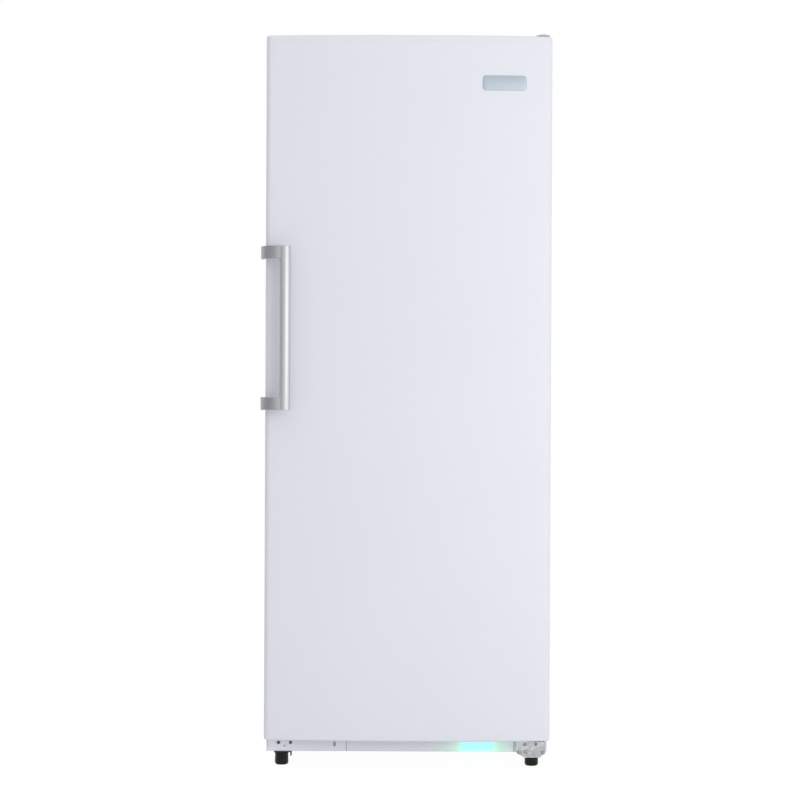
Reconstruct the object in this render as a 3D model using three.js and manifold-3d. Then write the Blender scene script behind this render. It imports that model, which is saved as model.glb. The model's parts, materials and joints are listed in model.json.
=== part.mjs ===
// Upright freezer: a steel cabinet with foamed walls, a crowned door hinged on the right and a bar handle.
// Millimetres, +Z up. X runs to the right seen from the front, Y to the rear, and the floor is at Z = 0.
// The cabinet's front plane is Y = 0 while the pieces are made; the group at the end is centred on its box.
import * as THREE from 'three';
import { mergeVertices } from 'three/addons/utils/BufferGeometryUtils.js';
import Module from 'manifold-3d';

const wasm = await Module();
wasm.setup();

// ---- Driving dimensions ----

const seat = 0.3; // clearance between pieces that touch
const steel = 1.2; // cabinet sheet
const plate = 3; // hinge and bracket plate
const plastic = 1.5; // formed liners
const bendRadius = 3;

const cabinetWidth = 706;
const cabinetDepth = 640;
const cabinetTop = 1830; // above the floor
const baseHeight = 37; // floor to the underside of the cabinet
const flangeWidth = 40; // front face of the sheet round the opening
const rearFlangeWidth = 14;
const sideWall = 55; // insulation, sheet to sheet
const topWall = 60;
const backWall = 65;
const floorWall = 93;
const stepWall = 55; // over and in front of the machine space
const machineHeight = 253;
const machineDepth = 220;
const linerCorner = 14;

const railHeight = 81;
const railFoot = 50; // lower flange of the front rail
const railLip = 12;
const lensWidth = 76;
const lensHeight = 16;
const lensInset = 175; // cabinet side to the lens's middle
const lensCentreZ = 51;
const lensRim = 2;

const doorOverhang = 3; // door beyond the cabinet at each side
const doorDrop = 2; // door's top below the cabinet's
const railShown = 38; // rail under the door
const doorRear = 14.2; // rear plane of the door in front of the cabinet
const doorEdge = 50; // depth of the door's side face
const doorCrown = 15; // how far its middle stands proud of its edges
const doorCorner = 14;
const doorSkin = 1;
const doorReturn = 12;
const capHeight = 14;
const capTongue = 14;
const capRound = 5;

const dykeClearance = 10; // raised ring of the door liner inside the cabinet's opening
const dykeWidth = 24;
const dykeReach = 45; // into the cabinet
const dykeRound = 6;
const linerMargin = 5; // door edge to the edge of its liner
const gasketWidth = 20;
const gasketInset = 22; // door edge to gasket
const gasketThick = 5; // its head and its base

const binCount = 5;
const binHeight = 96;
const binReach = 84; // in front of which nothing in the cabinet stands
const binWall = 2.4;
const binCorner = 13;
const binFrontDrop = 26;
const binShoulder = 14; // depth of the lowered front
const lugSize = 8;

const handleLength = 405;
const handleShare = 0.584; // its middle's height on the door
const handleInset = 52; // door edge to the bar's axis
const handleStandoff = 48; // bar's axis in front of the door's face there
const barWidth = 28;
const barThick = 20;
const barRound = 2;
const bracketHeight = 32;
const bracketProud = 10; // beyond the door's side
const bracketThick = 7;
const bracketPad = 40;
const bracketBend = 42;

const hingeInset = 21; // door edge to the hinge axis
const hingeSetback = 40; // hinge axis in front of the cabinet
const pinRadius = 5;
const bushWall = 3;
const bushFlange = 12;
const bushDepth = 20;
const bracketWidth = 74;
const bracketShift = 4.5; // its middle from the leg's axis, away from the cabinet's side
const skirtWidth = 40;
const skirtBottom = 24;
const shelfWidth = 44; // left leg's plain bracket
const shelfShift = 4;
const armRound = 16;
const topHingeWidth = 40;
const topHingeLength = 72; // on the cabinet's top
const hingeCoverHeight = 13;
const hingeCoverWall = 2;

const legInset = 37; // cabinet side to the leg's axis
const legSetback = 27;
const legRadius = 18;
const legFootRadius = 16;
const legCollar = 5;
const studRadius = 5;
const studLength = 30;
const tabHeight = 9;

const rollerRadius = 16;
const rollerWidth = 16;
const rollerInset = 53;
const rollerSetback = 40;
const rollerGroove = 2;
const axleRadius = 4;
const earThick = 2.5;
const earWidth = 28;
const trayEdge = 14;

const shelfCount = 4;
const shelfFront = 100;
const shelfGap = 7; // shelf to evaporator cover
const glassThick = 4;
const glassCorner = 10;
const ledgeReach = 10;
const ledgeHeight = 9;
const ledgeSetback = 12; // behind the shelf's front
const trimHeight = 16;
const trimDepth = 18;
const trimWall = 2;
const trimGrip = 14; // over the glass

const basketHeight = 180;
const basketLift = 15; // over the step of the liner
const basketSetback = 10; // behind the shelves' front
const basketGap = 35; // to the evaporator cover
const basketInset = 8;
const basketLedge = 14;
const frameWireRadius = 3;
const meshWireRadius = 1.6;
const wireMerge = 0.5; // how deep crossing wires are welded into each other
const wireStep = 0.2; // a mat's cross rods and inner wires stay this much under the flats of its long rods

const coilSpace = 70; // evaporator cover to the liner's back
const coverThick = 2;
const coilMargin = 83; // liner's side to the coil
const coilRows = 4;
const coilPitch = 48;
const coilTubeRadius = 4;
const coilShare = 0.26; // its lower end on the evaporator cover
const finCount = 5;
const finThick = 1.2;
const finDepth = 52;
const heaterRadius = 3.5;
const heaterMargin = 25;
const fanShare = 0.63; // its axis on the evaporator cover
const fanRadius = 52;
const fanHub = 15;
const fanBlades = 5;
const fanDepth = 16;
const bladeWidth = 30;
const bladeThick = 1.8;
const shaftRadius = 2;
const motorRadius = 28;
const motorLength = 30;
const motorFlange = 6;
const ventMargin = 40;
const ventHeight = 10;

const controlWidth = 260;
const controlDepth = 120;
const controlHeight = 32;
const controlSetback = 82;
const knobRadius = 13;
const knobLength = 13;
const knobInset = 40;
const knobFlange = 2;
const lampWidth = 150;
const lampDepth = 70;
const lampHeight = 9;
const lampBevel = 2;

const canRadius = 76;
const canHeight = 168;
const canBand = 4;
const canFoot = 14;
const canPlateWidth = 208;
const canPlateDepth = 152;
const canPlateThick = 3;
const canShare = 0.17; // its axis from the middle, over the cabinet's width
const panWidth = 250;
const panDepth = 150;
const panHeight = 46;
const panWall = 2;
const panCorner = 12;
const panShare = -0.255;
const ventCount = 12;
const ventWidth = 12;
const coverMargin = 60; // round the field of vents

const condenserTubeRadius = 2.5;
const condenserRuns = 5;
const condenserFront = 120;
const condenserMargin = 130; // above the machine space and below the top
const condenserSetback = 60; // its last run behind the machine space's front

// ---- Levels and planes that several pieces share ----

const half = cabinetWidth / 2;
const shellInside = half - steel - seat; // furthest out that an inner piece reaches
const railTop = baseHeight + railHeight;
const linerHalf = half - sideWall;
const linerFloor = baseHeight + floorWall;
const linerCeiling = cabinetTop - topWall;
const linerBack = cabinetDepth - backWall;
const machineTop = baseHeight + machineHeight;
const machineFront = cabinetDepth - machineDepth;
const machineMiddle = cabinetDepth - machineDepth / 2;
const linerStepTop = machineTop + stepWall;
const linerStepFront = machineFront - stepWall;
const trayTop = baseHeight + steel;
const doorWidth = cabinetWidth + 2 * doorOverhang;
const doorHalf = doorWidth / 2;
const doorTop = cabinetTop - doorDrop;
const doorBottom = baseHeight + railShown;
const skinInside = doorSkin + seat;
const hingeX = doorHalf - hingeInset;
const legX = half - legInset;
const dykeHalf = linerHalf - dykeClearance;
const dykeBottom = linerFloor + dykeClearance;
const dykeTop = linerCeiling - dykeClearance;
const binPitch = (dykeTop - dykeBottom - binHeight) / binCount;
const binFirst = dykeBottom + dykeWidth + lugSize + dykeClearance;
const binLevels = Array.from({ length: binCount }, (_, i) => binFirst + i * binPitch);
const barX = -doorHalf + handleInset;
const barY = crownFace(barX) - handleStandoff;
const handleBottom = doorBottom + handleShare * (doorTop - doorBottom) - handleLength / 2;
const handleTop = handleBottom + handleLength;
const coverY = linerBack - coilSpace;
const coverHeight = linerCeiling - linerStepTop;
const fanZ = linerStepTop + fanShare * coverHeight;
const coilBottom = linerStepTop + coilShare * coverHeight;
const coilHalfWidth = linerHalf - coilMargin;
const shelfRear = coverY - shelfGap;
const shelfPitch = (coverHeight - controlHeight) / (shelfCount + 1);
const shelfLevels = Array.from({ length: shelfCount }, (_, i) => linerStepTop + (i + 1) * shelfPitch);
const ledgeInner = linerHalf - ledgeReach;
const ledgeFront = shelfFront + ledgeSetback;
const basketBottom = linerStepTop + basketLift;
const basketFront = shelfFront + basketSetback;
const basketRear = coverY - basketGap;
const condenserLow = machineTop + condenserMargin;
const condenserHigh = cabinetTop - condenserMargin;
const condenserLast = machineFront + condenserSetback;
const condenserPitch = (condenserLast - condenserFront) / (condenserRuns - 1);
const condenserDeep = 2 * condenserTubeRadius + 2 * seat; // room for the tube behind the sheet

// ---- Finishes ----

function finish(color, roughness, metalness, opacity = 1) {
  const material = new THREE.MeshStandardMaterial({ color, roughness, metalness });
  material.opacity = opacity;
  material.transparent = opacity < 1;
  return material;
}

const whitePaint = () => finish(0xe4e5ec, 0.38, 0.1);
const whitePlastic = () => finish(0xe8e9ee, 0.42, 0);
const railPaint = () => finish(0xd6d8dd, 0.42, 0.1);
const zincSteel = () => finish(0xb9bcc0, 0.38, 0.9);
const satinMetal = () => finish(0xb4b6b9, 0.33, 0.85);
const foam = () => finish(0xe2c98c, 0.9, 0);
const sealRubber = () => finish(0xd9dade, 0.7, 0);
const blackPlastic = () => finish(0x1b1b1c, 0.5, 0);
const nylon = () => finish(0xe9e6dc, 0.5, 0);
const clearGlass = () => finish(0xcfe3e0, 0.08, 0, 0.35);
const clearPlastic = () => finish(0xe6edf2, 0.2, 0, 0.5);
const lampGreen = () => finish(0x6fffe2, 0.3, 0);
const copper = () => finish(0xb87348, 0.35, 0.9);
const aluminium = () => finish(0xc3c6c9, 0.35, 0.9);
const blackSteel = () => finish(0x202124, 0.45, 0.6);
const wireCoat = () => finish(0xeeeff2, 0.4, 0);

// ---- Solid helpers ----

// A closed geometry as a solid that can be cut and joined.
function solid(geometry) {
  const bare = geometry.clone();
  bare.deleteAttribute('normal');
  bare.deleteAttribute('uv');
  const merged = mergeVertices(bare);
  return new wasm.Manifold(new wasm.Mesh({
    numProp: 3,
    vertProperties: merged.attributes.position.array,
    triVerts: new Uint32Array(merged.index.array),
  }));
}

function join(...solids) {
  return solids.reduce((sum, next) => sum.add(next));
}

function cut(body, ...tools) {
  return tools.reduce((rest, tool) => rest.subtract(tool), body);
}

function box([x0, x1], [y0, y1], [z0, z1]) {
  const geometry = new THREE.BoxGeometry(x1 - x0, y1 - y0, z1 - z0);
  return solid(geometry.translate((x0 + x1) / 2, (y0 + y1) / 2, (z0 + z1) / 2));
}

// Where a prism's outline axes and its length point, for a length along each axis.
const prismAxes = {
  x: new THREE.Matrix4().set(0, 0, 1, 0, 1, 0, 0, 0, 0, 1, 0, 0, 0, 0, 0, 1),
  y: new THREE.Matrix4().set(1, 0, 0, 0, 0, 0, -1, 0, 0, 1, 0, 0, 0, 0, 0, 1),
  z: new THREE.Matrix4(),
};

// An outline pushed along an axis: (y, z) points along x, (x, z) along y or (x, y) along z.
function prism(outline, axis, from, to, options = {}) {
  const shape = outline instanceof THREE.Shape ? outline : new THREE.Shape(outline);
  const geometry = new THREE.ExtrudeGeometry(shape, { depth: to - from, bevelEnabled: false, ...options });
  const shift = new THREE.Vector3(axis === 'x' ? from : 0, axis === 'y' ? to : 0, axis === 'z' ? from : 0);
  return solid(geometry.applyMatrix4(prismAxes[axis]).translate(shift.x, shift.y, shift.z));
}

const at = (x, y) => new THREE.Vector2(x, y);

// A pair of numbers, smaller first.
function span(a, b) {
  return a < b ? [a, b] : [b, a];
}

function samePlace(a, b) {
  return a && b && a.distanceTo(b) < 1e-6;
}

// Points along a path whose corners are rounded to a radius, one for all or one for each corner.
function rounded(points, radii, { steps = 3, closed = false } = {}) {
  const path = [];
  const count = points.length;
  points.forEach((corner, i) => {
    const radius = Array.isArray(radii) ? radii[i] : radii;
    const end = !closed && (i === 0 || i === count - 1);
    const before = points[(i + count - 1) % count];
    const after = points[(i + 1) % count];
    if (end || !radius) {
      path.push(corner.clone());
      return;
    }
    const back = before.clone().sub(corner).normalize();
    const ahead = after.clone().sub(corner).normalize();
    const turn = Math.PI - back.angleTo(ahead);
    const reach = radius * Math.tan(turn / 2);
    const start = corner.clone().addScaledVector(back, reach);
    const stop = corner.clone().addScaledVector(ahead, reach);
    const toCentre = back.add(ahead).normalize();
    const centre = corner.clone().addScaledVector(toCentre, radius / Math.cos(turn / 2));
    const first = start.sub(centre);
    const last = stop.sub(centre);
    for (let k = 0; k <= steps; k += 1) {
      const a = Math.sin((1 - k / steps) * turn) / Math.sin(turn);
      const b = Math.sin((k / steps) * turn) / Math.sin(turn);
      const point = centre.clone().addScaledVector(first, a).addScaledVector(last, b);
      if (!samePlace(path.at(-1), point)) {
        path.push(point);
      }
    }
  });
  return path;
}

function rectangle([x0, x1], [y0, y1], radii = 0, steps = 3) {
  const corners = [at(x0, y0), at(x1, y0), at(x1, y1), at(x0, y1)];
  return radii ? rounded(corners, radii, { steps, closed: true }) : corners;
}

// The path shifted sideways, positive to the left of its direction, with mitred corners.
function offsetPath(points, distance) {
  return points.map((point, i) => {
    const before = points[Math.max(i - 1, 0)];
    const after = points[Math.min(i + 1, points.length - 1)];
    const inDirection = (i ? point.clone().sub(before) : after.clone().sub(point)).normalize();
    const outDirection = (i < points.length - 1 ? after.clone().sub(point) : inDirection).clone().normalize();
    const mitre = at(-inDirection.y - outDirection.y, inDirection.x + outDirection.x).normalize();
    const stretch = mitre.x * -inDirection.y + mitre.y * inDirection.x;
    return point.clone().addScaledVector(mitre, distance / stretch);
  });
}

// The section of a bent sheet: a path along one face, and the same path on the other face.
function sheetSection(path, thickness) {
  return [...path, ...offsetPath(path, thickness).reverse()];
}

function circle(radius, segments, x = 0, y = 0) {
  return Array.from({ length: segments }, (_, i) => {
    const angle = ((i + 0.5) / segments) * 2 * Math.PI;
    return at(x + radius * Math.cos(angle), y + radius * Math.sin(angle));
  });
}

// A profile of (radius, height) points turned round an upright axis.
function turned(profile, segments) {
  const geometry = new THREE.LatheGeometry(profile.map(([r, h]) => at(r, h)), segments);
  return solid(geometry.rotateX(Math.PI / 2));
}

function cylinder(radius, axis, from, to, [u, v], segments = 16) {
  return prism(circle(radius, segments, u, v), axis, from, to);
}

// A path of points for a tube, with one ring of the tube at each point.
class PointPath extends THREE.Curve {
  constructor(points) {
    super();
    this.points = points;
  }

  getPointAt(share) {
    return this.points[Math.round(share * (this.points.length - 1))];
  }

  getTangentAt(share) {
    const i = Math.round(share * (this.points.length - 1));
    const before = this.points[Math.max(i - 1, 0)];
    const after = this.points[Math.min(i + 1, this.points.length - 1)];
    return after.clone().sub(before).normalize();
  }
}

function tube(corners, radius, bend, sides = 6, steps = 4) {
  const points = rounded(corners, bend, { steps });
  const section = new THREE.Shape(circle(radius, sides));
  const extrudePath = new PointPath(points);
  const lengths = points.length - 1;
  return solid(new THREE.ExtrudeGeometry(section, { steps: lengths, extrudePath, bevelEnabled: false }));
}

function corner(x, y, z) {
  return new THREE.Vector3(x, y, z);
}

const flat = Math.cos(Math.PI / 6); // a six-sided rod's half width over its flats, for a radius of one

function piece(name, shape, material) {
  const made = shape.getMesh();
  const geometry = new THREE.BufferGeometry();
  geometry.setAttribute('position', new THREE.BufferAttribute(made.vertProperties, 3));
  geometry.setIndex(new THREE.BufferAttribute(made.triVerts, 1));
  geometry.computeVertexNormals();
  const mesh = new THREE.Mesh(geometry, material);
  mesh.name = name;
  return mesh;
}

function mirrored(shape) {
  return shape.mirror([1, 0, 0]);
}

// ---- Cabinet ----

// One side of the cabinet: a sheet bent inwards at its front and rear edges.
function sidePanel() {
  const path = rounded([
    at(half - flangeWidth, 0),
    at(half, 0),
    at(half, cabinetDepth),
    at(half - rearFlangeWidth, cabinetDepth),
  ], bendRadius);
  const sheet = prism(sheetSection(path, steel), 'z', baseHeight, cabinetTop);
  const flangeX = [half - flangeWidth - 1, half - bendRadius];
  const railGap = box(flangeX, [-1, steel + bendRadius], [baseHeight - 1, railTop + seat]);
  const topGap = box(flangeX, [-1, steel + bendRadius], [cabinetTop - flangeWidth - seat, cabinetTop + 1]);
  const rearX = [half - rearFlangeWidth - 1, half - bendRadius];
  const rearZ = [cabinetTop - rearFlangeWidth - seat, cabinetTop + 1];
  const rearGap = box(rearX, [cabinetDepth - steel - bendRadius, cabinetDepth + 1], rearZ);
  const underTop = box(
    [half - bendRadius - steel, half - steel + 0.01],
    [0, cabinetDepth],
    [cabinetTop - steel - seat, cabinetTop + 1],
  );
  return cut(sheet, railGap, topGap, rearGap, underTop);
}

function topPanel() {
  const path = rounded([
    at(0, cabinetTop - flangeWidth),
    at(0, cabinetTop),
    at(cabinetDepth, cabinetTop),
    at(cabinetDepth, cabinetTop - rearFlangeWidth),
  ], bendRadius);
  const sheet = prism(sheetSection(path, -steel), 'x', -shellInside, shellInside);
  const bends = [1, -1].flatMap((side) => {
    const x = span(side * shellInside, side * (half - bendRadius - seat));
    const low = cabinetTop - flangeWidth - 1;
    return [
      box(x, [-1, bendRadius + seat], [low, cabinetTop + 1]),
      box(x, [cabinetDepth - bendRadius - seat, cabinetDepth + 1], [low, cabinetTop + 1]),
    ];
  });
  return cut(sheet, ...bends);
}

const rearPanelY = [cabinetDepth - 2 * steel - seat, cabinetDepth - steel - seat];

function rearPanel() {
  const inner = half - bendRadius - steel;
  return box([-inner, inner], rearPanelY, [machineTop + steel + seat, cabinetTop - steel - bendRadius]);
}

function basePlate() {
  return box([-shellInside, shellInside], [railFoot + seat, machineFront - seat], [baseHeight, trayTop]);
}

// The bent plate that walls the machine space off from the foam.
function stepPlate() {
  const path = rounded([
    at(machineFront, baseHeight),
    at(machineFront, machineTop + steel),
    at(rearPanelY[0] - seat - steel, machineTop + steel),
    at(rearPanelY[0] - seat - steel, machineTop + steel + rearFlangeWidth),
  ], [0, bendRadius, bendRadius, 0]);
  const sheet = prism(sheetSection(path, -steel), 'x', -shellInside, shellInside);
  return cut(sheet, ...condenserSlots(machineTop - 1, machineTop + bendRadius));
}

// The cavity that the liner encloses, seen from the side, grown on all sides by an amount.
function cavityOutline(grow, front) {
  const corners = [
    at(front, linerFloor - grow),
    at(linerStepFront + grow, linerFloor - grow),
    at(linerStepFront + grow, linerStepTop - grow),
    at(linerBack + grow, linerStepTop - grow),
    at(linerBack + grow, linerCeiling + grow),
    at(front, linerCeiling + grow),
  ];
  const radius = linerCorner + grow;
  return rounded(corners, [0, radius, linerCorner - grow, radius, radius, 0], { closed: true, steps: 2 });
}

const ledges = [
  { top: basketBottom, reach: basketLedge },
  ...shelfLevels.map((top) => ({ top, reach: ledgeReach })),
];

// The ledges along both side walls, thinned on all sides by an amount.
function ledgeBars(thin) {
  return ledges.flatMap(({ top, reach }) => [1, -1].map((side) => {
    const x = span(side * (linerHalf - reach + thin), side * (linerHalf + 1 + thin));
    return box(x, [ledgeFront + thin, shelfRear - thin], [top - ledgeHeight + thin, top - thin]);
  }));
}

function cavity(grow, front) {
  const across = linerHalf + grow;
  const space = prism(cavityOutline(grow, front), 'x', -across, across);
  return cut(space, ...ledgeBars(grow));
}

function innerLiner() {
  const lipX = half - flangeWidth - seat;
  const lip = box([-lipX, lipX], [0, plastic], [railTop + seat, cabinetTop - flangeWidth - seat]);
  return cut(join(cavity(plastic, 0), lip), cavity(0, -1));
}

// Slots at both sides for the two ends of the condenser on their way down to the machine space.
function condenserSlots(low, high) {
  const slot = condenserTubeRadius + 2;
  return [1, -1].map((side) => box(
    span(side * (shellInside - condenserDeep), side * (shellInside + 1)),
    [condenserLast - slot, condenserLast + slot],
    [low, high],
  ));
}

// A shallow recess at each side holds the condenser's runs, with a slot over the top between them.
function condenserRecess() {
  const slot = condenserTubeRadius + 2;
  const overY = [condenserFront - slot, condenserFront + slot];
  const underTop = cabinetTop - steel - seat - condenserDeep;
  const bend = 4 * condenserTubeRadius;
  const sides = [1, -1].flatMap((side) => {
    const x = span(side * (shellInside - condenserDeep), side * (shellInside + 1));
    const bendX = span(side * (shellInside - condenserDeep - bend), side * (shellInside + 1));
    return [
      box(x, [condenserFront - slot, condenserLast + slot], [condenserLow - slot, condenserHigh + slot]),
      box(x, overY, [condenserHigh, cabinetTop]),
      box(bendX, overY, [underTop - bend, cabinetTop]),
    ];
  });
  const over = box([-half, half], overY, [underTop, cabinetTop]);
  return [...sides, ...condenserSlots(machineTop, condenserLow), over];
}

function cabinetFoam() {
  const front = plastic + seat;
  const top = cabinetTop - steel - seat - bendRadius / 2;
  const rear = rearPanelY[0] - seat;
  const outline = [
    at(railFoot + seat, trayTop + seat),
    at(machineFront - seat, trayTop + seat),
    at(machineFront - seat, machineTop + steel + seat),
    at(rear - steel - seat - bendRadius, machineTop + steel + seat),
    at(rear - steel - seat, machineTop + steel + seat + bendRadius),
    at(rear - steel - seat, machineTop + steel + rearFlangeWidth + seat),
    at(rear, machineTop + steel + rearFlangeWidth + seat),
    at(rear, top),
    at(bendRadius + seat, top),
    at(front, top - bendRadius),
    at(front, railTop + seat),
    at(railFoot + seat, railTop + seat),
  ];
  const across = shellInside - bendRadius / 2;
  const block = prism(outline, 'x', -across, across);
  const deep = [2 * bendRadius, rear - 2 * bendRadius];
  const sideSkin = box([-shellInside, shellInside], deep, [trayTop + 1, top]);
  const walls = join(block, sideSkin.intersect(prism(outline, 'x', -shellInside, shellInside)));
  return cut(walls, cavity(plastic + seat, -1), ...condenserRecess());
}

// ---- Base ----

function frontRail() {
  const path = rounded([
    at(railFoot, baseHeight),
    at(0, baseHeight),
    at(0, railTop),
    at(railLip, railTop),
  ], bendRadius);
  const across = half - bendRadius - seat;
  const rail = prism(sheetSection(path, -steel), 'x', -across, across);
  const window = prism(rectangle(
    [half - lensInset - lensWidth / 2 - seat, half - lensInset + lensWidth / 2 + seat],
    [lensCentreZ - lensHeight / 2 - seat, lensCentreZ + lensHeight / 2 + seat],
    lensHeight / 4,
  ), 'y', -1, steel + bendRadius);
  const studHoles = [legX, -legX].map((x) => (
    cylinder(studRadius + 1, 'z', baseHeight - 1, trayTop + 1, [x, legSetback])
  ));
  return cut(rail, window, ...studHoles);
}

// The lamp's lens fills the rail's window and has a wider back that bears on the rail from behind.
function powerLightLens() {
  const outline = (grow) => rectangle(
    [half - lensInset - lensWidth / 2 - grow, half - lensInset + lensWidth / 2 + grow],
    [lensCentreZ - lensHeight / 2 - grow, lensCentreZ + lensHeight / 2 + grow],
    lensHeight / 4,
  );
  const back = [steel + seat, steel + seat + lensRim];
  return join(prism(outline(0), 'y', -seat, back[1]), prism(outline(lensRim), 'y', ...back));
}

const bracketCentreX = legX - bracketShift;
const bracketX = [bracketCentreX - bracketWidth / 2, bracketCentreX + bracketWidth / 2];
const hingeGap = cabinetTop + seat - doorTop; // between the door's ends and the hinge plates
const armTop = doorBottom - hingeGap;
const footPlateTop = baseHeight - seat;
const footPlateBottom = footPlateTop - plate;

// The arm under or over the door in plan: straight along the cabinet, round about the hinge axis.
function armOutline([x0, x1], rear) {
  return rounded([
    at(x0, rear),
    at(hingeX - armRound, -hingeSetback - armRound),
    at(Math.min(hingeX + armRound, x1), -hingeSetback - armRound),
    at(x1, rear),
  ], [0, armRound - 2, armRound - 2, 0], { closed: true, steps: 4 });
}

function studHole(x) {
  return cylinder(studRadius + seat, 'z', footPlateBottom - 1, footPlateTop + 1, [x, legSetback]);
}

// A steel bracket: an arm with the hinge pin, a face screwed to the rail, a skirt and a shelf for the leg.
function lowerHingeBracket() {
  const [x0, x1] = bracketX;
  const rear = -seat;
  const skirt = [legX - skirtWidth / 2, legX + skirtWidth / 2];
  const face = prism([
    at(skirt[0], skirtBottom),
    at(skirt[1], skirtBottom),
    at(x1, baseHeight + 1),
    at(x1, armTop),
    at(x0, armTop),
    at(x0, baseHeight + 1),
  ], 'y', rear - plate, rear);
  const arm = prism(armOutline(bracketX, rear), 'z', armTop - plate, armTop);
  const pin = cylinder(pinRadius, 'z', armTop - 1, doorBottom + bushDepth, [hingeX, -hingeSetback]);
  const shelf = prism(
    rectangle(skirt, [rear - 1, legSetback + skirtWidth / 2], [0, 0, 6, 6]),
    'z',
    footPlateBottom,
    footPlateTop,
  );
  return cut(join(face, arm, pin, shelf), studHole(legX));
}

// The plain bracket that holds the left leg under the rail, with a small upturned tab at its inner end.
function leftLegBracket() {
  const middle = -legX + shelfShift;
  const x = [middle - shelfWidth / 2, middle + shelfWidth / 2];
  const shelf = prism(
    rectangle(x, [2, legSetback + skirtWidth / 2], [0, 0, 6, 6]),
    'z',
    footPlateBottom,
    footPlateTop,
  );
  const tab = box([x[1] - plate, x[1]], [2, legSetback], [footPlateBottom - tabHeight, footPlateTop]);
  return cut(join(shelf, tab), studHole(-legX));
}

// A levelling leg: a tapered moulded foot with grip flutes round a threaded stud.
function levelingLeg(x) {
  const top = footPlateBottom - seat;
  const foot = turned([
    [0, 0],
    [legFootRadius - 3, 0],
    [legFootRadius, 3],
    [legRadius - 1, top - legCollar],
    [legRadius, top - legCollar + 1],
    [legRadius, top],
    [studRadius, top],
    [studRadius, top + studLength],
    [0, top + studLength],
  ], 16);
  return foot.translate([x, legSetback, 0]);
}

const rollerY = cabinetDepth - rollerSetback;

function rollerX(side) {
  return side * (half - rollerInset);
}

// The tray under the compressor: edges turned up, ears turned down with a stub axle across each pair.
function compressorTray() {
  const path = rounded([
    at(machineFront + steel + 2 * seat, baseHeight + trayEdge),
    at(machineFront + steel + 2 * seat, baseHeight),
    at(rearPanelY[0] - seat, baseHeight),
    at(rearPanelY[0] - seat, baseHeight + trayEdge),
  ], bendRadius);
  const tray = prism(sheetSection(path, steel), 'x', -shellInside + 2, shellInside - 2);
  const ears = [1, -1].flatMap((side) => {
    const x = rollerX(side);
    const inner = rollerWidth / 2 + seat;
    const outer = inner + earThick;
    const sheet = (from, to) => prism([
      at(rollerY - earWidth / 2, baseHeight + steel / 2),
      at(rollerY - 1.5 * axleRadius, rollerRadius - 1.75 * axleRadius),
      at(rollerY + 1.5 * axleRadius, rollerRadius - 1.75 * axleRadius),
      at(rollerY + earWidth / 2, baseHeight + steel / 2),
    ], 'x', from, to);
    return [
      sheet(x - outer, x - inner),
      sheet(x + inner, x + outer),
      cylinder(axleRadius, 'x', x - outer - earThick, x + outer + earThick, [rollerY, rollerRadius], 8),
    ];
  });
  return join(tray, ...ears);
}

// A roller with a crowned rim and a bore that runs on the stub axle.
function rearRoller(side) {
  const w = rollerWidth / 2;
  const bore = axleRadius + seat;
  const wheel = turned([
    [bore, -w],
    [bore + axleRadius, -w + rollerGroove],
    [rollerRadius - 1.5 * rollerGroove, -w + rollerGroove],
    [rollerRadius - rollerGroove, -w],
    [rollerRadius, -w + rollerGroove],
    [rollerRadius, w - rollerGroove],
    [rollerRadius - rollerGroove, w],
    [rollerRadius - 1.5 * rollerGroove, w - rollerGroove],
    [bore + axleRadius, w - rollerGroove],
    [bore, w],
    [bore, -w],
  ], 16);
  return wheel.rotate([0, 90, 0]).translate([rollerX(side), rollerY, rollerRadius]);
}

// The cover behind the machine space, with upright vent slots.
function machineCover() {
  const inner = half - bendRadius - steel;
  const sheet = box([-inner, inner], rearPanelY, [baseHeight + bendRadius, machineTop]);
  const pitch = (2 * inner - coverMargin) / ventCount;
  const slots = Array.from({ length: ventCount }, (_, i) => {
    const x = -inner + coverMargin / 2 + (i + 0.5) * pitch;
    const slotZ = [baseHeight + coverMargin, machineTop - coverMargin];
    return box([x - ventWidth / 2, x + ventWidth / 2], [rearPanelY[0] - 1, rearPanelY[1] + 1], slotZ);
  });
  return cut(sheet, ...slots);
}

// A hermetic can with a belly band, standing on a foot plate.
function compressor() {
  const can = turned([
    [0, 0],
    [canRadius * 0.55, 0],
    [canRadius * 0.86, canHeight * 0.1],
    [canRadius, canHeight * 0.28],
    [canRadius, canHeight * 0.5],
    [canRadius + canBand, canHeight * 0.5],
    [canRadius + canBand, canHeight * 0.56],
    [canRadius, canHeight * 0.56],
    [canRadius * 0.96, canHeight * 0.75],
    [canRadius * 0.7, canHeight * 0.94],
    [canRadius * 0.3, canHeight],
    [0, canHeight],
  ], 16);
  const plateX = canPlateWidth / 2;
  const plateY = canPlateDepth / 2;
  const feet = [-1, 1].flatMap((x) => [-1, 1].map((y) => turned([
    [0, 0],
    [canFoot * 0.8, 0],
    [canFoot * 0.9, canFoot / 2],
    [canFoot * 0.65, canFoot + canPlateThick / 2],
    [0, canFoot + canPlateThick / 2],
  ], 8).translate([x * (plateX - 1.15 * canFoot), y * (plateY - canFoot), 0])));
  const outline = rectangle([-plateX, plateX], [-plateY, plateY], canFoot);
  const footPlate = prism(outline, 'z', canFoot, canFoot + canPlateThick);
  const whole = join(can.translate([0, 0, canFoot + 1]), footPlate, ...feet);
  return whole.translate([canShare * cabinetWidth, machineMiddle, trayTop + seat]);
}

function drainPan() {
  const z = trayTop + seat;
  const panX = panShare * cabinetWidth;
  const x = [panX - panWidth / 2, panX + panWidth / 2];
  const y = [machineMiddle - panDepth / 2, machineMiddle + panDepth / 2];
  const inside = (v) => [v[0] + panWall, v[1] - panWall];
  const outer = prism(rectangle(x, y, panCorner), 'z', z, z + panHeight);
  const hollow = rectangle(inside(x), inside(y), panCorner - panWall);
  const inner = prism(hollow, 'z', z + panWall, z + panHeight + 1);
  return cut(outer, inner);
}

// ---- Refrigeration ----

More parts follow.
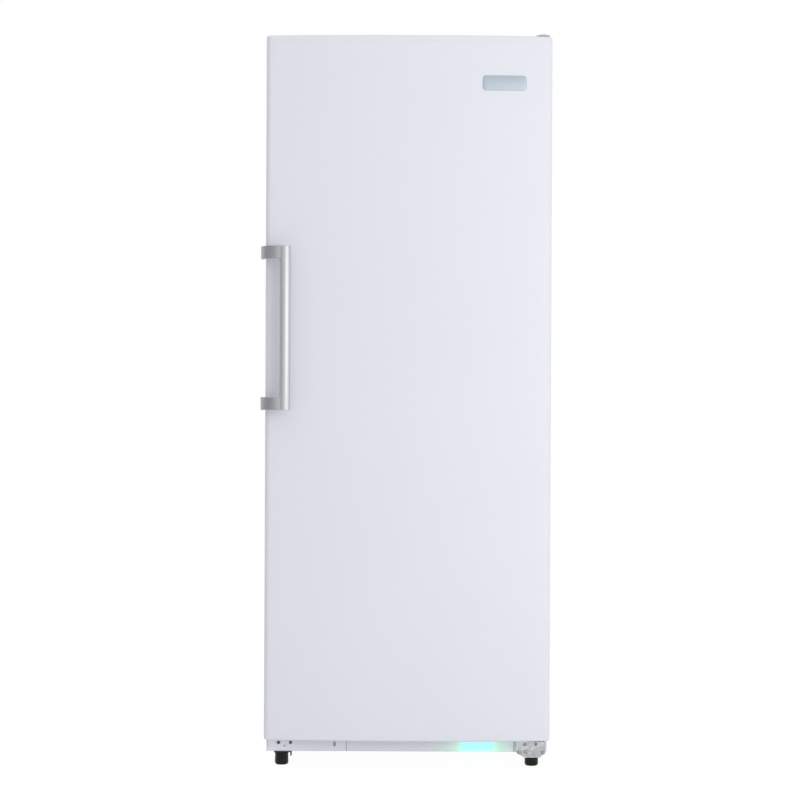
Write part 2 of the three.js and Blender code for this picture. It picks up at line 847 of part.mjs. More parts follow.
// One tube: up and down inside the left side, over the top and up and down inside the right side.
function condenser() {
  const x = shellInside - condenserTubeRadius - seat;
  const rows = Array.from({ length: condenserRuns }, (_, i) => condenserLast - i * condenserPitch);
  const up = rows.flatMap((y, i) => {
    const ends = i % 2 ? [condenserHigh, condenserLow] : [condenserLow, condenserHigh];
    return ends.map((z) => corner(-x, y, z));
  });
  up[0].z = machineTop - 20;
  up[up.length - 1].z = cabinetTop - steel - 2 * seat - condenserTubeRadius;
  const down = up.map((point) => corner(-point.x, point.y, point.z)).reverse();
  const corners = [...up, ...down];
  const bends = corners.map(() => condenserPitch / 2 - 1);
  bends[up.length - 1] = 3 * condenserTubeRadius;
  bends[up.length] = 3 * condenserTubeRadius;
  return tube(corners, condenserTubeRadius, bends, 5, 2);
}

const coilY = (coverY + coverThick + linerBack) / 2;

// A finned coil: one bent tube through a row of fins.
function evaporatorCoil() {
  const corners = Array.from({ length: coilRows }, (_, i) => {
    const z = coilBottom + (i + 0.5) * coilPitch;
    const x = i % 2 ? [coilHalfWidth, -coilHalfWidth] : [-coilHalfWidth, coilHalfWidth];
    return x.map((end) => corner(end, coilY, z));
  }).flat();
  const pipe = tube(corners, coilTubeRadius, coilPitch / 2 - 0.5, 6, 3);
  const finSpan = 2 * coilHalfWidth - 2 * coilPitch;
  const z = [coilBottom, coilBottom + coilRows * coilPitch];
  const fins = Array.from({ length: finCount }, (_, i) => {
    const x = -finSpan / 2 + (i * finSpan) / (finCount - 1);
    const last = i === 0 || i === finCount - 1;
    const rear = last ? linerBack - seat : coilY + finDepth / 2;
    return box([x - finThick / 2, x + finThick / 2], [coilY - finDepth / 2, rear], z);
  });
  return join(pipe, ...fins);
}

function defrostHeater() {
  const z = coilBottom - seat - heaterRadius * flat;
  const y = [coilY - finDepth / 4, coilY + finDepth / 4];
  const heaterHalfWidth = coilHalfWidth - heaterMargin;
  return tube([
    corner(-heaterHalfWidth, y[0], z),
    corner(heaterHalfWidth, y[0], z),
    corner(heaterHalfWidth, y[1], z),
    corner(-heaterHalfWidth, y[1], z),
  ], heaterRadius, finDepth / 4 - 0.5, 6, 3);
}

// A blade whose pitch eases off from its root to its tip.
function fanBlade(turn) {
  const root = fanHub - 2 * bladeThick;
  const length = fanRadius - root;
  const blade = new THREE.BoxGeometry(length, bladeWidth, bladeThick, 3, 2, 1);
  blade.translate(root + length / 2, 0, 0);
  const place = blade.attributes.position;
  for (let i = 0; i < place.count; i += 1) {
    const reach = (place.getX(i) - fanHub) / (fanRadius - fanHub);
    const pitch = THREE.MathUtils.degToRad(34 - 16 * reach);
    const chord = place.getY(i) * (0.55 + 0.45 * reach);
    const thick = place.getZ(i) + (chord * chord) / (2.8 * bladeWidth);
    place.setY(i, chord * Math.cos(pitch) - thick * Math.sin(pitch));
    place.setZ(i, chord * Math.sin(pitch) + thick * Math.cos(pitch));
  }
  return solid(blade.rotateZ(turn));
}

const fanHubRear = linerBack - seat - motorLength - 2 * shaftRadius;

function fanWheel() {
  const hub = turned([
    [shaftRadius + seat, 0],
    [fanHub, 0],
    [fanHub, fanDepth - bladeThick],
    [fanHub - bladeThick, fanDepth],
    [shaftRadius + seat, fanDepth],
    [shaftRadius + seat, 0],
  ], 16);
  const blades = Array.from({ length: fanBlades }, (_, i) => (
    fanBlade((i * 2 * Math.PI) / fanBlades).translate([0, 0, fanDepth / 2])
  ));
  const radius = shaftRadius + seat;
  const bore = turned([[0, -fanDepth], [radius, -fanDepth], [radius, 2 * fanDepth], [0, 2 * fanDepth]], 16);
  const wheel = cut(join(hub, ...blades), bore);
  return wheel.rotate([90, 0, 0]).translate([0, fanHubRear, fanZ]);
}

// The fan's motor: a round can with cooling steps on the liner's back, and the shaft that the fan sits on.
function fanMotor() {
  const shaftTip = motorLength + fanDepth + 3 * shaftRadius;
  const motor = turned([
    [0, 0],
    [motorRadius + motorFlange, 0],
    [motorRadius + motorFlange, motorFlange * 0.7],
    [motorRadius, motorFlange * 0.7],
    [motorRadius, motorLength - motorFlange],
    [motorRadius - motorFlange, motorLength],
    [shaftRadius * 2, motorLength],
    [shaftRadius * 2, motorLength + shaftRadius],
    [shaftRadius, motorLength + shaftRadius],
    [shaftRadius, shaftTip],
    [0, shaftTip],
  ], 16);
  return motor.rotate([90, 0, 0]).translate([0, linerBack - seat, fanZ]);
}

// The cover in front of the coil: return slots low down and a ring of outlet slots at the fan.
function evaporatorCover() {
  const x = linerHalf - 2 * seat;
  const z = [linerStepTop + seat, linerCeiling - seat];
  const sheet = box([-x, x], [coverY, coverY + coverThick], z);
  const through = (outline) => prism(outline, 'y', coverY - 1, coverY + coverThick + 1);
  const slotCount = 9;
  const pitch = (2 * x - 2 * ventMargin) / slotCount;
  const slotZ = [z[0] + 2 * ventHeight, z[0] + 3 * ventHeight];
  const returns = Array.from({ length: slotCount }, (_, i) => {
    const centre = -x + ventMargin + (i + 0.5) * pitch;
    return through(rectangle([centre - pitch * 0.36, centre + pitch * 0.36], slotZ));
  });
  const petals = 8;
  const outlets = Array.from({ length: petals }, (_, i) => {
    const middle = (i * 2 * Math.PI) / petals;
    const spread = (0.36 * 2 * Math.PI) / petals;
    const ring = (radius, turn) => (
      at(radius * Math.cos(middle + turn), fanZ + radius * Math.sin(middle + turn))
    );
    const inner = fanHub + 2 * coverThick;
    return through([
      ring(inner, -spread),
      ring(fanRadius, -spread),
      ring(fanRadius, 0),
      ring(fanRadius, spread),
      ring(inner, spread),
    ]);
  });
  return cut(sheet, ...returns, ...outlets);
}

// ---- Inside fittings ----

function shelfGlass(level) {
  const z = level + seat;
  const outline = rectangle([-linerHalf + 1, linerHalf - 1], [shelfFront, shelfRear], glassCorner);
  return prism(outline, 'z', z, z + glassThick);
}

// A moulded trim clipped over the front edge of the glass.
function shelfTrim(level) {
  const glass = [level + seat, level + seat + glassThick];
  const front = shelfFront - seat - trimWall;
  const outline = rounded([
    at(front, glass[1] + trimWall + seat - trimHeight),
    at(front + 2 * trimWall, glass[1] + trimWall + seat - trimHeight),
    at(front + 2 * trimWall, glass[0] - seat - trimWall),
    at(front + trimDepth, glass[0] - seat - trimWall),
    at(front + trimDepth, glass[0] - seat),
    at(shelfFront - seat, glass[0] - seat),
    at(shelfFront - seat, glass[1] + seat),
    at(front + trimGrip, glass[1] + seat),
    at(front + trimGrip, glass[1] + seat + trimWall),
    at(front, glass[1] + seat + trimWall),
  ], [1.5, 1.5, 0, 0, 0, 0, 0, 0, 1.5, 1.8], { closed: true, steps: 2 });
  const across = ledgeInner - 2;
  return prism(outline, 'x', -across, across);
}

// A frame rod along u or v with six flats, two of them square to w.
function rod(along, from, to, across) {
  const radius = along === 'u' ? frameWireRadius - wireStep : frameWireRadius;
  const bar = prism(circle(radius, 6), 'z', from, to);
  const w = frameWireRadius * flat;
  return along === 'u'
    ? bar.rotate([0, 90, 0]).translate([0, across, w])
    : bar.rotate([0, 0, 90]).rotate([-90, 0, 0]).translate([across, 0, w]);
}

const matThick = 2 * frameWireRadius * flat + 2 * meshWireRadius - wireMerge;

// A welded mat of wires in a frame, lying in the (u, v) plane with its outer wires towards +w.
function wireMat(across, up, columns, rows) {
  const rim = frameWireRadius;
  const end = frameWireRadius / 4;
  const frame = [
    rod('u', rim, across - rim, rim),
    rod('u', rim, across - rim, up - rim),
    rod('v', end, up - end, rim),
    rod('v', end, up - end, across - rim),
  ];
  const outer = [2 * frameWireRadius * flat - wireMerge, matThick];
  const innerTop = outer[0] + wireMerge - wireStep;
  const inner = [innerTop - 2 * meshWireRadius, innerTop];
  const uprights = Array.from({ length: columns }, (_, i) => {
    const u = ((i + 1) * across) / (columns + 1);
    return box([u - meshWireRadius, u + meshWireRadius], [end, up - end], outer);
  });
  const bars = Array.from({ length: rows }, (_, i) => {
    const v = ((i + 1) * up) / (rows + 1);
    return box([rim, across - rim], [v - meshWireRadius, v + meshWireRadius], inner);
  });
  return join(...frame, ...uprights, ...bars);
}

function placed(shape, u, v, origin) {
  const w = u.clone().cross(v);
  const matrix = new THREE.Matrix4().makeBasis(u, v, w).setPosition(origin);
  return shape.transform(matrix.elements);
}

// The five mats of the sliding basket, each facing outwards.
function basketMats() {
  const right = corner(1, 0, 0);
  const back = corner(0, 1, 0);
  const up = corner(0, 0, 1);
  const outerX = linerHalf - basketInset;
  const innerX = outerX - matThick;
  const frontY = basketFront + matThick;
  const rearY = basketRear - matThick;
  const sideY = [frontY + seat, rearY - seat];
  const z = basketBottom + seat;
  const depth = sideY[1] - sideY[0];
  const floorX = innerX - seat;
  const side = wireMat(depth, basketHeight, 5, 0);
  const face = wireMat(2 * outerX, basketHeight, 9, 1);
  const bottom = wireMat(depth, 2 * floorX, 0, 7);
  return {
    front: placed(face, right, up, corner(-outerX, frontY, z)),
    rear: placed(face, right.clone().negate(), up, corner(outerX, rearY, z)),
    right: placed(side, back, up, corner(innerX, sideY[0], z)),
    left: placed(side, back.clone().negate(), up, corner(-innerX, sideY[1], z)),
    floor: placed(bottom, back, right, corner(-floorX, sideY[0], z + matThick)),
  };
}

const controlZ = linerCeiling - seat - controlHeight;

// The housing under the ceiling: a moulded body with a sloped front for the dial.
function controlHousing() {
  const rear = controlSetback + controlDepth;
  const outline = rounded([
    at(controlSetback, controlZ),
    at(rear, controlZ),
    at(rear, linerCeiling - seat),
    at(controlSetback, linerCeiling - seat),
  ], [4, 8, 0, 0], { closed: true });
  return prism(outline, 'x', -controlWidth / 2, controlWidth / 2);
}

const knobX = controlWidth / 2 - knobInset;

function controlKnob() {
  const body = turned([
    [0, 0],
    [knobRadius + knobFlange, 0],
    [knobRadius + knobFlange, knobFlange],
    [knobRadius, knobFlange],
    [knobRadius - 1, knobLength - 1],
    [knobRadius - knobFlange, knobLength],
    [0, knobLength],
  ], 16);
  const wide = knobFlange * 0.75;
  const tall = [knobLength - 2 * knobFlange, knobLength + 1];
  const pointer = box([-wide, wide], [knobFlange, knobRadius + 0.5], tall);
  const knob = join(body, pointer).rotate([90, 0, 0]);
  return knob.translate([knobX, controlSetback - seat, controlZ + controlHeight / 2]);
}

// The clear cover of the inside lamp, under the housing.
function lampCover() {
  const y = controlSetback + controlDepth / 2;
  const rim = rectangle([-lampWidth / 2, lampWidth / 2], [y - lampDepth / 2, y + lampDepth / 2], glassCorner);
  return prism(rim, 'z', controlZ - seat - lampHeight, controlZ - seat - lampBevel, {
    bevelEnabled: true,
    bevelThickness: lampBevel,
    bevelSize: lampBevel,
    bevelOffset: -lampBevel,
    bevelSegments: 1,
  });
}

// ---- Door ----

// The door's front face at a distance from its middle: a shallow arc from edge to edge.
function crownFace(x) {
  const bow = (doorHalf * doorHalf + doorCrown * doorCrown) / (2 * doorCrown);
  return -(doorRear + doorEdge) - doorCrown + bow - Math.sqrt(bow * bow - x * x);
}

// The path round the outside of the door in plan, from the right rear corner over the front to the left.
function doorPath(inset, rear) {
  const side = doorHalf - inset;
  const crownSteps = 12;
  const front = Array.from({ length: crownSteps + 1 }, (_, i) => {
    const x = side - (2 * side * i) / crownSteps;
    return at(x, crownFace(x) + inset);
  });
  const radii = front.map((_, i) => (i === 0 || i === crownSteps ? Math.max(doorCorner - inset, 1) : 0));
  return rounded([at(side, -rear), ...front, at(-side, -rear)], [0, ...radii, 0]);
}

const skinRear = doorRear + plastic + seat;

// The door's sheet: crowned front, rounded sides and narrow returns at the rear.
function doorSkinSheet() {
  const body = doorPath(0, skinRear);
  const first = at(doorHalf - doorReturn, -skinRear);
  const last = at(-doorHalf + doorReturn, -skinRear);
  const section = sheetSection([first, ...body, last], -doorSkin);
  return prism(section, 'z', doorBottom + capHeight + seat, doorTop - capHeight - seat);
}

// An end cap of the door: a rounded face as wide as the sheet, and a tongue that goes inside it.
function doorCap() {
  const outline = doorPath(0, skinRear);
  const rounding = {
    bevelEnabled: true,
    bevelThickness: capRound,
    bevelSize: capRound,
    bevelOffset: -capRound,
    bevelSegments: 2,
  };
  const whole = prism(outline, 'z', capRound, 2 * capHeight, rounding);
  const face = cut(whole, box([-doorWidth, doorWidth], [-doorWidth, doorWidth], [capHeight, 4 * capHeight]));
  const inside = doorPath(skinInside, skinRear + skinInside);
  const tongue = prism(inside, 'z', capHeight - 1, capHeight + capTongue);
  const holeRadius = pinRadius + bushWall + 2 * seat;
  const bushHole = cylinder(holeRadius, 'z', -1, bushDepth + seat, [hingeX, -hingeSetback]);
  return cut(join(face, tongue), bushHole);
}

function doorCapBottom() {
  return doorCap().translate([0, 0, doorBottom]);
}

function doorCapTop() {
  return doorCap().mirror([0, 0, 1]).translate([0, 0, doorTop]);
}

// The raised ring of the door liner, shrunk on all sides by an amount.
function dykeRing(shrink, from) {
  const x = dykeHalf - shrink;
  const z = [dykeBottom + shrink, dykeTop - shrink];
  const wide = dykeWidth - 2 * shrink;
  const ring = new THREE.Shape(rectangle([-x, x], z, linerCorner + dykeRound - shrink, 2));
  const hole = rectangle([-x + wide, x - wide], [z[0] + wide, z[1] - wide], linerCorner + shrink, 2);
  ring.holes.push(new THREE.Path(hole.reverse()));
  const round = Math.max(dykeRound - shrink, 2);
  const tip = dykeReach - shrink;
  const whole = prism(ring, 'y', from + round, tip - round, {
    bevelEnabled: true,
    bevelThickness: round,
    bevelSize: round,
    bevelOffset: -round,
    bevelSegments: 1,
  });
  const root = prism(ring, 'y', from, tip - 2 * round);
  return join(whole, root);
}

function doorLiner() {
  const across = doorHalf - linerMargin;
  const z = [doorBottom + linerMargin, doorTop - linerMargin];
  const sheet = box([-across, across], [-doorRear - plastic, -doorRear], z);
  const lugs = binLevels.flatMap((level) => [1, -1].map((side) => {
    const inner = dykeHalf - dykeWidth;
    const x = span(side * (inner - lugSize), side * (inner + 1));
    return box(x, [-doorRear - 0.5, binReach / 3], [level - lugSize - seat, level - seat]);
  }));
  const formed = join(sheet, dykeRing(0, -doorRear - plastic), ...lugs);
  return cut(formed, dykeRing(plastic, -doorRear - plastic - 1));
}

function doorFoam() {
  const z = [doorBottom + capHeight + capTongue + seat, doorTop - capHeight - capTongue - seat];
  const rear = skinRear + skinInside;
  const slab = prism(doorPath(skinInside, rear), 'z', z[0], z[1]);
  return join(slab, dykeRing(plastic + seat, -rear - 1));
}

// The magnetic seal: a base strip, a narrow bellows and a wide head.
function doorGasket() {
  const outerX = doorHalf - gasketInset;
  const outerZ = [doorBottom + gasketInset, doorTop - gasketInset];
  const ring = (inset, from, to) => {
    const wide = gasketWidth - 2 * inset;
    const x = outerX - inset;
    const z = [outerZ[0] + inset, outerZ[1] - inset];
    const shape = new THREE.Shape(rectangle([-x, x], z));
    const hole = rectangle([-x + wide, x - wide], [z[0] + wide, z[1] - wide]);
    shape.holes.push(new THREE.Path(hole.reverse()));
    return prism(shape, 'y', from, to);
  };
  const base = -doorRear + seat;
  const narrow = gasketWidth / 4;
  return join(
    ring(narrow / 2, base, base + gasketThick),
    ring(narrow, base + gasketThick - 1, -seat - gasketThick + 1),
    ring(0, -seat - gasketThick, -seat),
  );
}

// A nylon bush: a sleeve in the door's cap and a flange that runs on the hinge plate.
function hingeBush() {
  const bore = pinRadius + seat;
  const flange = hingeGap - seat;
  const profile = [
    [bore, -flange],
    [bushFlange, -flange],
    [bushFlange, -seat],
    [bore + bushWall, -seat],
    [bore + bushWall, bushDepth - seat],
    [bore, bushDepth - seat],
    [bore, -flange],
  ];
  return turned(profile, 12);
}

function doorBin(level) {
  const x = dykeHalf - dykeWidth - seat;
  const rear = -doorRear + seat;
  const radii = [0, 0, binCorner, binCorner];
  const outer = prism(rectangle([-x, x], [rear, binReach], radii, 4), 'z', level, level + binHeight);
  const innerRadii = [2, 2, binCorner - binWall, binCorner - binWall];
  const deep = [rear + binWall, binReach - binWall];
  const hollow = rectangle([-x + binWall, x - binWall], deep, innerRadii, 4);
  const inner = prism(hollow, 'z', level + binWall, level + binHeight + 1);
  const slope = prism([
    at(binReach / 3, level + binHeight + 1),
    at(binReach - binShoulder, level + binHeight - binFrontDrop),
    at(binReach + 1, level + binHeight - binFrontDrop),
    at(binReach + 1, level + binHeight + 1),
  ], 'x', -x - 1, x + 1);
  return cut(outer, inner, slope);
}

// ---- Handle ----

function ovalOutline(grow, segments = 20) {
  return Array.from({ length: segments }, (_, i) => {
    const angle = ((i + 0.5) / segments) * 2 * Math.PI;
    const x = barX + (barWidth / 2 + grow) * Math.cos(angle);
    return at(x, barY + (barThick / 2 + grow) * Math.sin(angle));
  });
}

function handleBar() {
  return prism(ovalOutline(0), 'z', handleBottom + barRound, handleTop - barRound, {
    bevelEnabled: true,
    bevelThickness: barRound,
    bevelSize: barRound,
    bevelOffset: -barRound,
    bevelSegments: 2,
  });
}

// A strap that starts on the door's side, sweeps forward in a quarter turn and ends at the bar's left side.
function handleBracket(bottom) {
  const outerX = -doorHalf - bracketProud;
  const frontY = barY - barThick / 2 + bracketThick / 2;
  const rearY = -skinRear - 2 * capRound;
  const path = rounded([
    at(outerX, rearY),
    at(outerX, frontY),
    at(barX, frontY),
  ], bracketBend, { steps: 6 });
  const strap = prism(sheetSection(path, bracketThick), 'z', bottom, bottom + bracketHeight);
  const pad = prism(
    rectangle([outerX + 1, -doorHalf - seat], [rearY - bracketPad, rearY], [2, 2, 2, 2], 2),
    'z',
    bottom,
    bottom + bracketHeight,
  );
  const barSeat = prism(ovalOutline(seat), 'z', bottom - 1, bottom + bracketHeight + 1);
  const deep = [frontY - barThick, frontY + bracketBend];
  const beyond = box([barX, barX + barWidth], deep, [bottom - 1, handleTop + 1]);
  return cut(join(strap, pad), barSeat, beyond);
}

// ---- Top hinge ----

const topPlateZ = cabinetTop + seat;
const topHingeX = [half - 2 - topHingeWidth, half - 2];

function topHingePlate() {
  const arm = prism([
    ...armOutline(topHingeX, 0).slice(0, -1),
    at(topHingeX[1], topHingeLength),
    at(topHingeX[0], topHingeLength),
  ], 'z', topPlateZ, topPlateZ + plate);
  const pin = cylinder(pinRadius, 'z', doorTop - bushDepth, topPlateZ + 1, [hingeX, -hingeSetback]);
  return join(arm, pin);
}

// The moulded cover over the top hinge, lower at the front than at the rear.
function topHingeCover() {
  const base = topPlateZ;
  const grow = hingeCoverWall + seat;
  const x = [topHingeX[0] - grow, half - 1];
  const front = -hingeSetback - armRound - grow;
  const rear = topHingeLength + grow;
  const side = rounded([
    at(front, base),
    at(rear, base),
    at(rear, base + hingeCoverHeight),
    at(0, base + hingeCoverHeight),
    at(front, base + hingeCoverHeight * 0.6),
  ], [0, 0, hingeCoverHeight / 2, hingeCoverHeight, 3], { closed: true });
  const outer = prism(side, 'x', x[0], x[1]);
  const plan = rectangle(x, [front, rear], [armRound - 4, armRound - 4, 5, 5], 4);
  const trimmed = outer.intersect(prism(plan, 'z', base - 1, base + 2 * hingeCoverHeight));
  const plateRoom = box(
    [x[0] + hingeCoverWall, topHingeX[1] + seat],
    [front + hingeCoverWall, rear - hingeCoverWall],
    [base - 1, base + plate + seat],
  );
  return cut(trimmed, plateRoom);
}

// ---- Assembly ----

function cabinetPieces() {
  return [
    piece('side_panel_right', sidePanel(), whitePaint()),
    piece('side_panel_left', mirrored(sidePanel()), whitePaint()),
    piece('top_panel', topPanel(), whitePaint()),
    piece('rear_panel', rearPanel(), zincSteel()),
    piece('base_plate', basePlate(), zincSteel()),
    piece('step_plate', stepPlate(), zincSteel()),
    piece('inner_liner', innerLiner(), whitePlastic()),
    piece('cabinet_foam', cabinetFoam(), foam()),
  ];
}

function basePieces() {
  return [
    piece('front_rail', frontRail(), railPaint()),
    piece('power_light_lens', powerLightLens(), lampGreen()),
    piece('lower_hinge_bracket', lowerHingeBracket(), zincSteel()),
    piece('left_leg_bracket', leftLegBracket(), zincSteel()),
    piece('leveling_leg_left', levelingLeg(-legX), blackPlastic()),
    piece('leveling_leg_right', levelingLeg(legX), blackPlastic()),
    piece('compressor_tray', compressorTray(), zincSteel()),
    piece('rear_roller_left', rearRoller(-1), blackPlastic()),
    piece('rear_roller_right', rearRoller(1), blackPlastic()),
    piece('machine_cover', machineCover(), zincSteel()),
    piece('compressor', compressor(), blackSteel()),
    piece('drain_pan', drainPan(), blackPlastic()),
  ];
}

function coolingPieces() {
  return [
    piece('condenser_tube', condenser(), copper()),
    piece('evaporator_coil', evaporatorCoil(), aluminium()),
    piece('defrost_heater', defrostHeater(), zincSteel()),
    piece('evaporator_cover', evaporatorCover(), whitePlastic()),
    piece('fan_motor', fanMotor(), blackSteel()),
    piece('fan_blade', fanWheel(), blackPlastic()),
  ];
}

function insidePieces() {
  const shelves = shelfLevels.flatMap((level, i) => [
    piece(`shelf_glass_${i + 1}`, shelfGlass(level), clearGlass()),
    piece(`shelf_trim_${i + 1}`, shelfTrim(level), whitePlastic()),
  ]);
  const mats = Object.entries(basketMats()).map(([side, mat]) => (
    piece(`basket_mat_${side}`, mat, wireCoat())
  ));
  return [
    ...shelves,
    ...mats,
    piece('control_housing', controlHousing(), whitePlastic()),
    piece('control_knob', controlKnob(), whitePlastic()),
    piece('lamp_cover', lampCover(), clearPlastic()),
  ];
}

function doorPieces() {
  const bushLow = hingeBush().translate([hingeX, -hingeSetback, doorBottom]);
  const bushHigh = hingeBush().mirror([0, 0, 1]).translate([hingeX, -hingeSetback, doorTop]);
  const bins = binLevels.map((level, i) => piece(`door_bin_${i + 1}`, doorBin(level), clearPlastic()));
  return [
    piece('door_skin', doorSkinSheet(), whitePaint()),
    piece('door_cap_bottom', doorCapBottom(), whitePlastic()),
    piece('door_cap_top', doorCapTop(), whitePlastic()),
    piece('door_foam', doorFoam(), foam()),
    piece('door_liner', doorLiner(), whitePlastic()),
    piece('door_gasket', doorGasket(), sealRubber()),
    piece('hinge_bush_bottom', bushLow, nylon()),
    piece('hinge_bush_top', bushHigh, nylon()),
    ...bins,
    piece('handle_bar', handleBar(), satinMetal()),
    piece('handle_bracket_top', handleBracket(handleTop - bracketHeight), satinMetal()),
    piece('handle_bracket_bottom', handleBracket(handleBottom), satinMetal()),
  ];
}

function hingePieces() {
  return [
    piece('top_hinge_plate', topHingePlate(), zincSteel()),
    piece('top_hinge_cover', topHingeCover(), whitePlastic()),
  ];
}

const freezer = new THREE.Group();
freezer.add(
  ...cabinetPieces(),
  ...basePieces(),
  ...coolingPieces(),
  ...insidePieces(),
  ...doorPieces(),
  ...hingePieces(),
);

const reach = new THREE.Box3().setFromObject(freezer);
const middle = reach.getCenter(new THREE.Vector3());
freezer.position.set(-middle.x, -middle.y, -reach.min.z);

export default freezer;
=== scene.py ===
# Upright freezer: white crowned door hinged on the right, bar handle on the left,
# glass shelves and door bins inside.
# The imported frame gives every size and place; shapes here are made in the cabinet's own millimetres,
# with X to the right, Y to the rear from the cabinet's front plane and Z up from the floor.
import json
import math
import bmesh
import bpy
from mathutils import Matrix, Vector

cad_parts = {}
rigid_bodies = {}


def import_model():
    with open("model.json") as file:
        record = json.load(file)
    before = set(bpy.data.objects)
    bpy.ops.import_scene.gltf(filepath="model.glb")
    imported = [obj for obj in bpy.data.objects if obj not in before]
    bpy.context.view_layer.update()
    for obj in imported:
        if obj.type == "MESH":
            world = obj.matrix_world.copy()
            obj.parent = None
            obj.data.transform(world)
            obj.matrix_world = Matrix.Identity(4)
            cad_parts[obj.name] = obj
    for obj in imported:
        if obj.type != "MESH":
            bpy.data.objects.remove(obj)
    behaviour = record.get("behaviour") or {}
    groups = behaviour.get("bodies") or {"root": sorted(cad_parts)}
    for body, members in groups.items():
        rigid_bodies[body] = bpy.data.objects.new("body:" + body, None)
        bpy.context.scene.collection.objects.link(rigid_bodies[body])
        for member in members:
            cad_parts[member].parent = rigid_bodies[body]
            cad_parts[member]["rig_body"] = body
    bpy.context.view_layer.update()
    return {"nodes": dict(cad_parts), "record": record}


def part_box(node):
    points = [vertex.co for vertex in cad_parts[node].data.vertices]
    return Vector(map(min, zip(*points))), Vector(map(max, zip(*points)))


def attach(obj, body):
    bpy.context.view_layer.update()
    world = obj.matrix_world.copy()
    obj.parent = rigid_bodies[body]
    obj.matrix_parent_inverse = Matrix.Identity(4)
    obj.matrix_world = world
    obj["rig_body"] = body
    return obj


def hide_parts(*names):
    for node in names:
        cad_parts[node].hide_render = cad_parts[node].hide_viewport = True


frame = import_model()
scene = bpy.context.scene

millimetre = 0.001
leftPanel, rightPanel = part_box("side_panel_left"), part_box("side_panel_right")
origin = Vector(((leftPanel[0].x + rightPanel[1].x) / 2, leftPanel[0].y, 0))
toFrame = Matrix.Translation(origin) @ Matrix.Scale(millimetre, 4)
toCabinet = toFrame.inverted()


def space(node):
    low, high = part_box(node)
    return toCabinet @ low, toCabinet @ high  # a node's corners in the cabinet's millimetres


def linear(code):  # a colour's six hex digits as linear light
    parts = [int(code[i:i + 2], 16) / 255 for i in (0, 2, 4)]
    return [v / 12.92 if v <= 0.04045 else ((v + 0.055) / 1.055) ** 2.4 for v in parts] + [1.0]


# Shader maths
class Signal:  # one output socket, so that shader maths reads as arithmetic
    def __init__(self, owner, socket):  # the owner is the tree that the socket belongs to
        self.owner = owner
        self.socket = socket

    def maths(self, operation, first, second=None):  # first and second may be signals or numbers
        values = {0: first} if second is None else {0: first, 1: second}
        return self.owner.node("ShaderNodeMath", {"operation": operation}, values)

    def __add__(self, other):
        return self.maths("ADD", self, other)

    def __radd__(self, other):
        return self.maths("ADD", other, self)

    def __sub__(self, other):
        return self.maths("SUBTRACT", self, other)

    def __rsub__(self, other):
        return self.maths("SUBTRACT", other, self)

    def __mul__(self, other):
        return self.maths("MULTIPLY", self, other)

    def __rmul__(self, other):
        return self.maths("MULTIPLY", other, self)

    def __truediv__(self, other):
        return self.maths("DIVIDE", self, other)

    def __abs__(self):
        return self.maths("ABSOLUTE", self)


class Tree:  # a node tree that is built by one method
    def __init__(self, tree):
        self.tree = tree

    def feed(self, socket, value):
        if isinstance(value, Signal):
            self.tree.links.new(value.socket, socket)
        elif isinstance(value, str):
            socket.default_value = linear(value)
        else:
            socket.default_value = value

    def node(self, kind, settings=None, inputs=None, output=0):
        made = self.tree.nodes.new(kind)
        for key, value in (settings or {}).items():
            if key != "stops":
                setattr(made, key, value)
                continue
            ramp = made.color_ramp.elements
            while len(ramp) < len(value):
                ramp.new(1)
            for element, (position, colour) in zip(ramp, value):
                element.position = position
                element.color = linear(colour) if isinstance(colour, str) else [colour] * 3 + [1]
        for key, value in (inputs or {}).items():
            self.feed(made.inputs[key], value)
        return Signal(self, made.outputs[output])


class Finish(Tree):  # a material on the principled shader
    def __init__(self, name, **constants):
        self.material = bpy.data.materials.new(name)
        self.material.use_nodes = True
        super().__init__(self.material.node_tree)
        self.shader = self.tree.nodes["Principled BSDF"]
        self.set(**constants)

    def set(self, **values):
        for key, value in values.items():
            self.feed(self.shader.inputs[key.replace("_", " ")], value)

    def place(self, stretch=(1, 1, 1), centre=(0, 0, 0)):
        where = self.node("ShaderNodeTexCoord", output="Object")
        shift = [-c * s for c, s in zip(centre, stretch)]
        return self.node("ShaderNodeMapping", inputs={"Vector": where, "Location": shift, "Scale": stretch})

    def noise(self, scale, detail, stretch=(1, 1, 1)):
        return self.node("ShaderNodeTexNoise", inputs={
            "Vector": self.place(stretch), "Scale": scale, "Detail": detail, "Roughness": 0.5})

    def cells(self, scale, output="Color"):
        return self.node("ShaderNodeTexVoronoi", {"feature": "F1"},
                         {"Vector": self.place(), "Scale": scale}, output)

    def ramp(self, value, *stops):
        return self.node("ShaderNodeValToRGB", {"stops": stops}, {0: value})

    def mix(self, factor, first, second):
        return self.node("ShaderNodeMix", {"data_type": "RGBA"}, {0: factor, 6: first, 7: second}, 2)

    def axis(self, letter, centre=(0, 0, 0)):
        where = self.place(centre=centre)
        return self.node("ShaderNodeSeparateXYZ", inputs={0: where}, output="XYZ".index(letter))

    def bump(self, height, depth, strength):  # depth in metres
        self.set(Normal=self.node("ShaderNodeBump", inputs={
            "Height": height, "Distance": depth, "Strength": strength}))


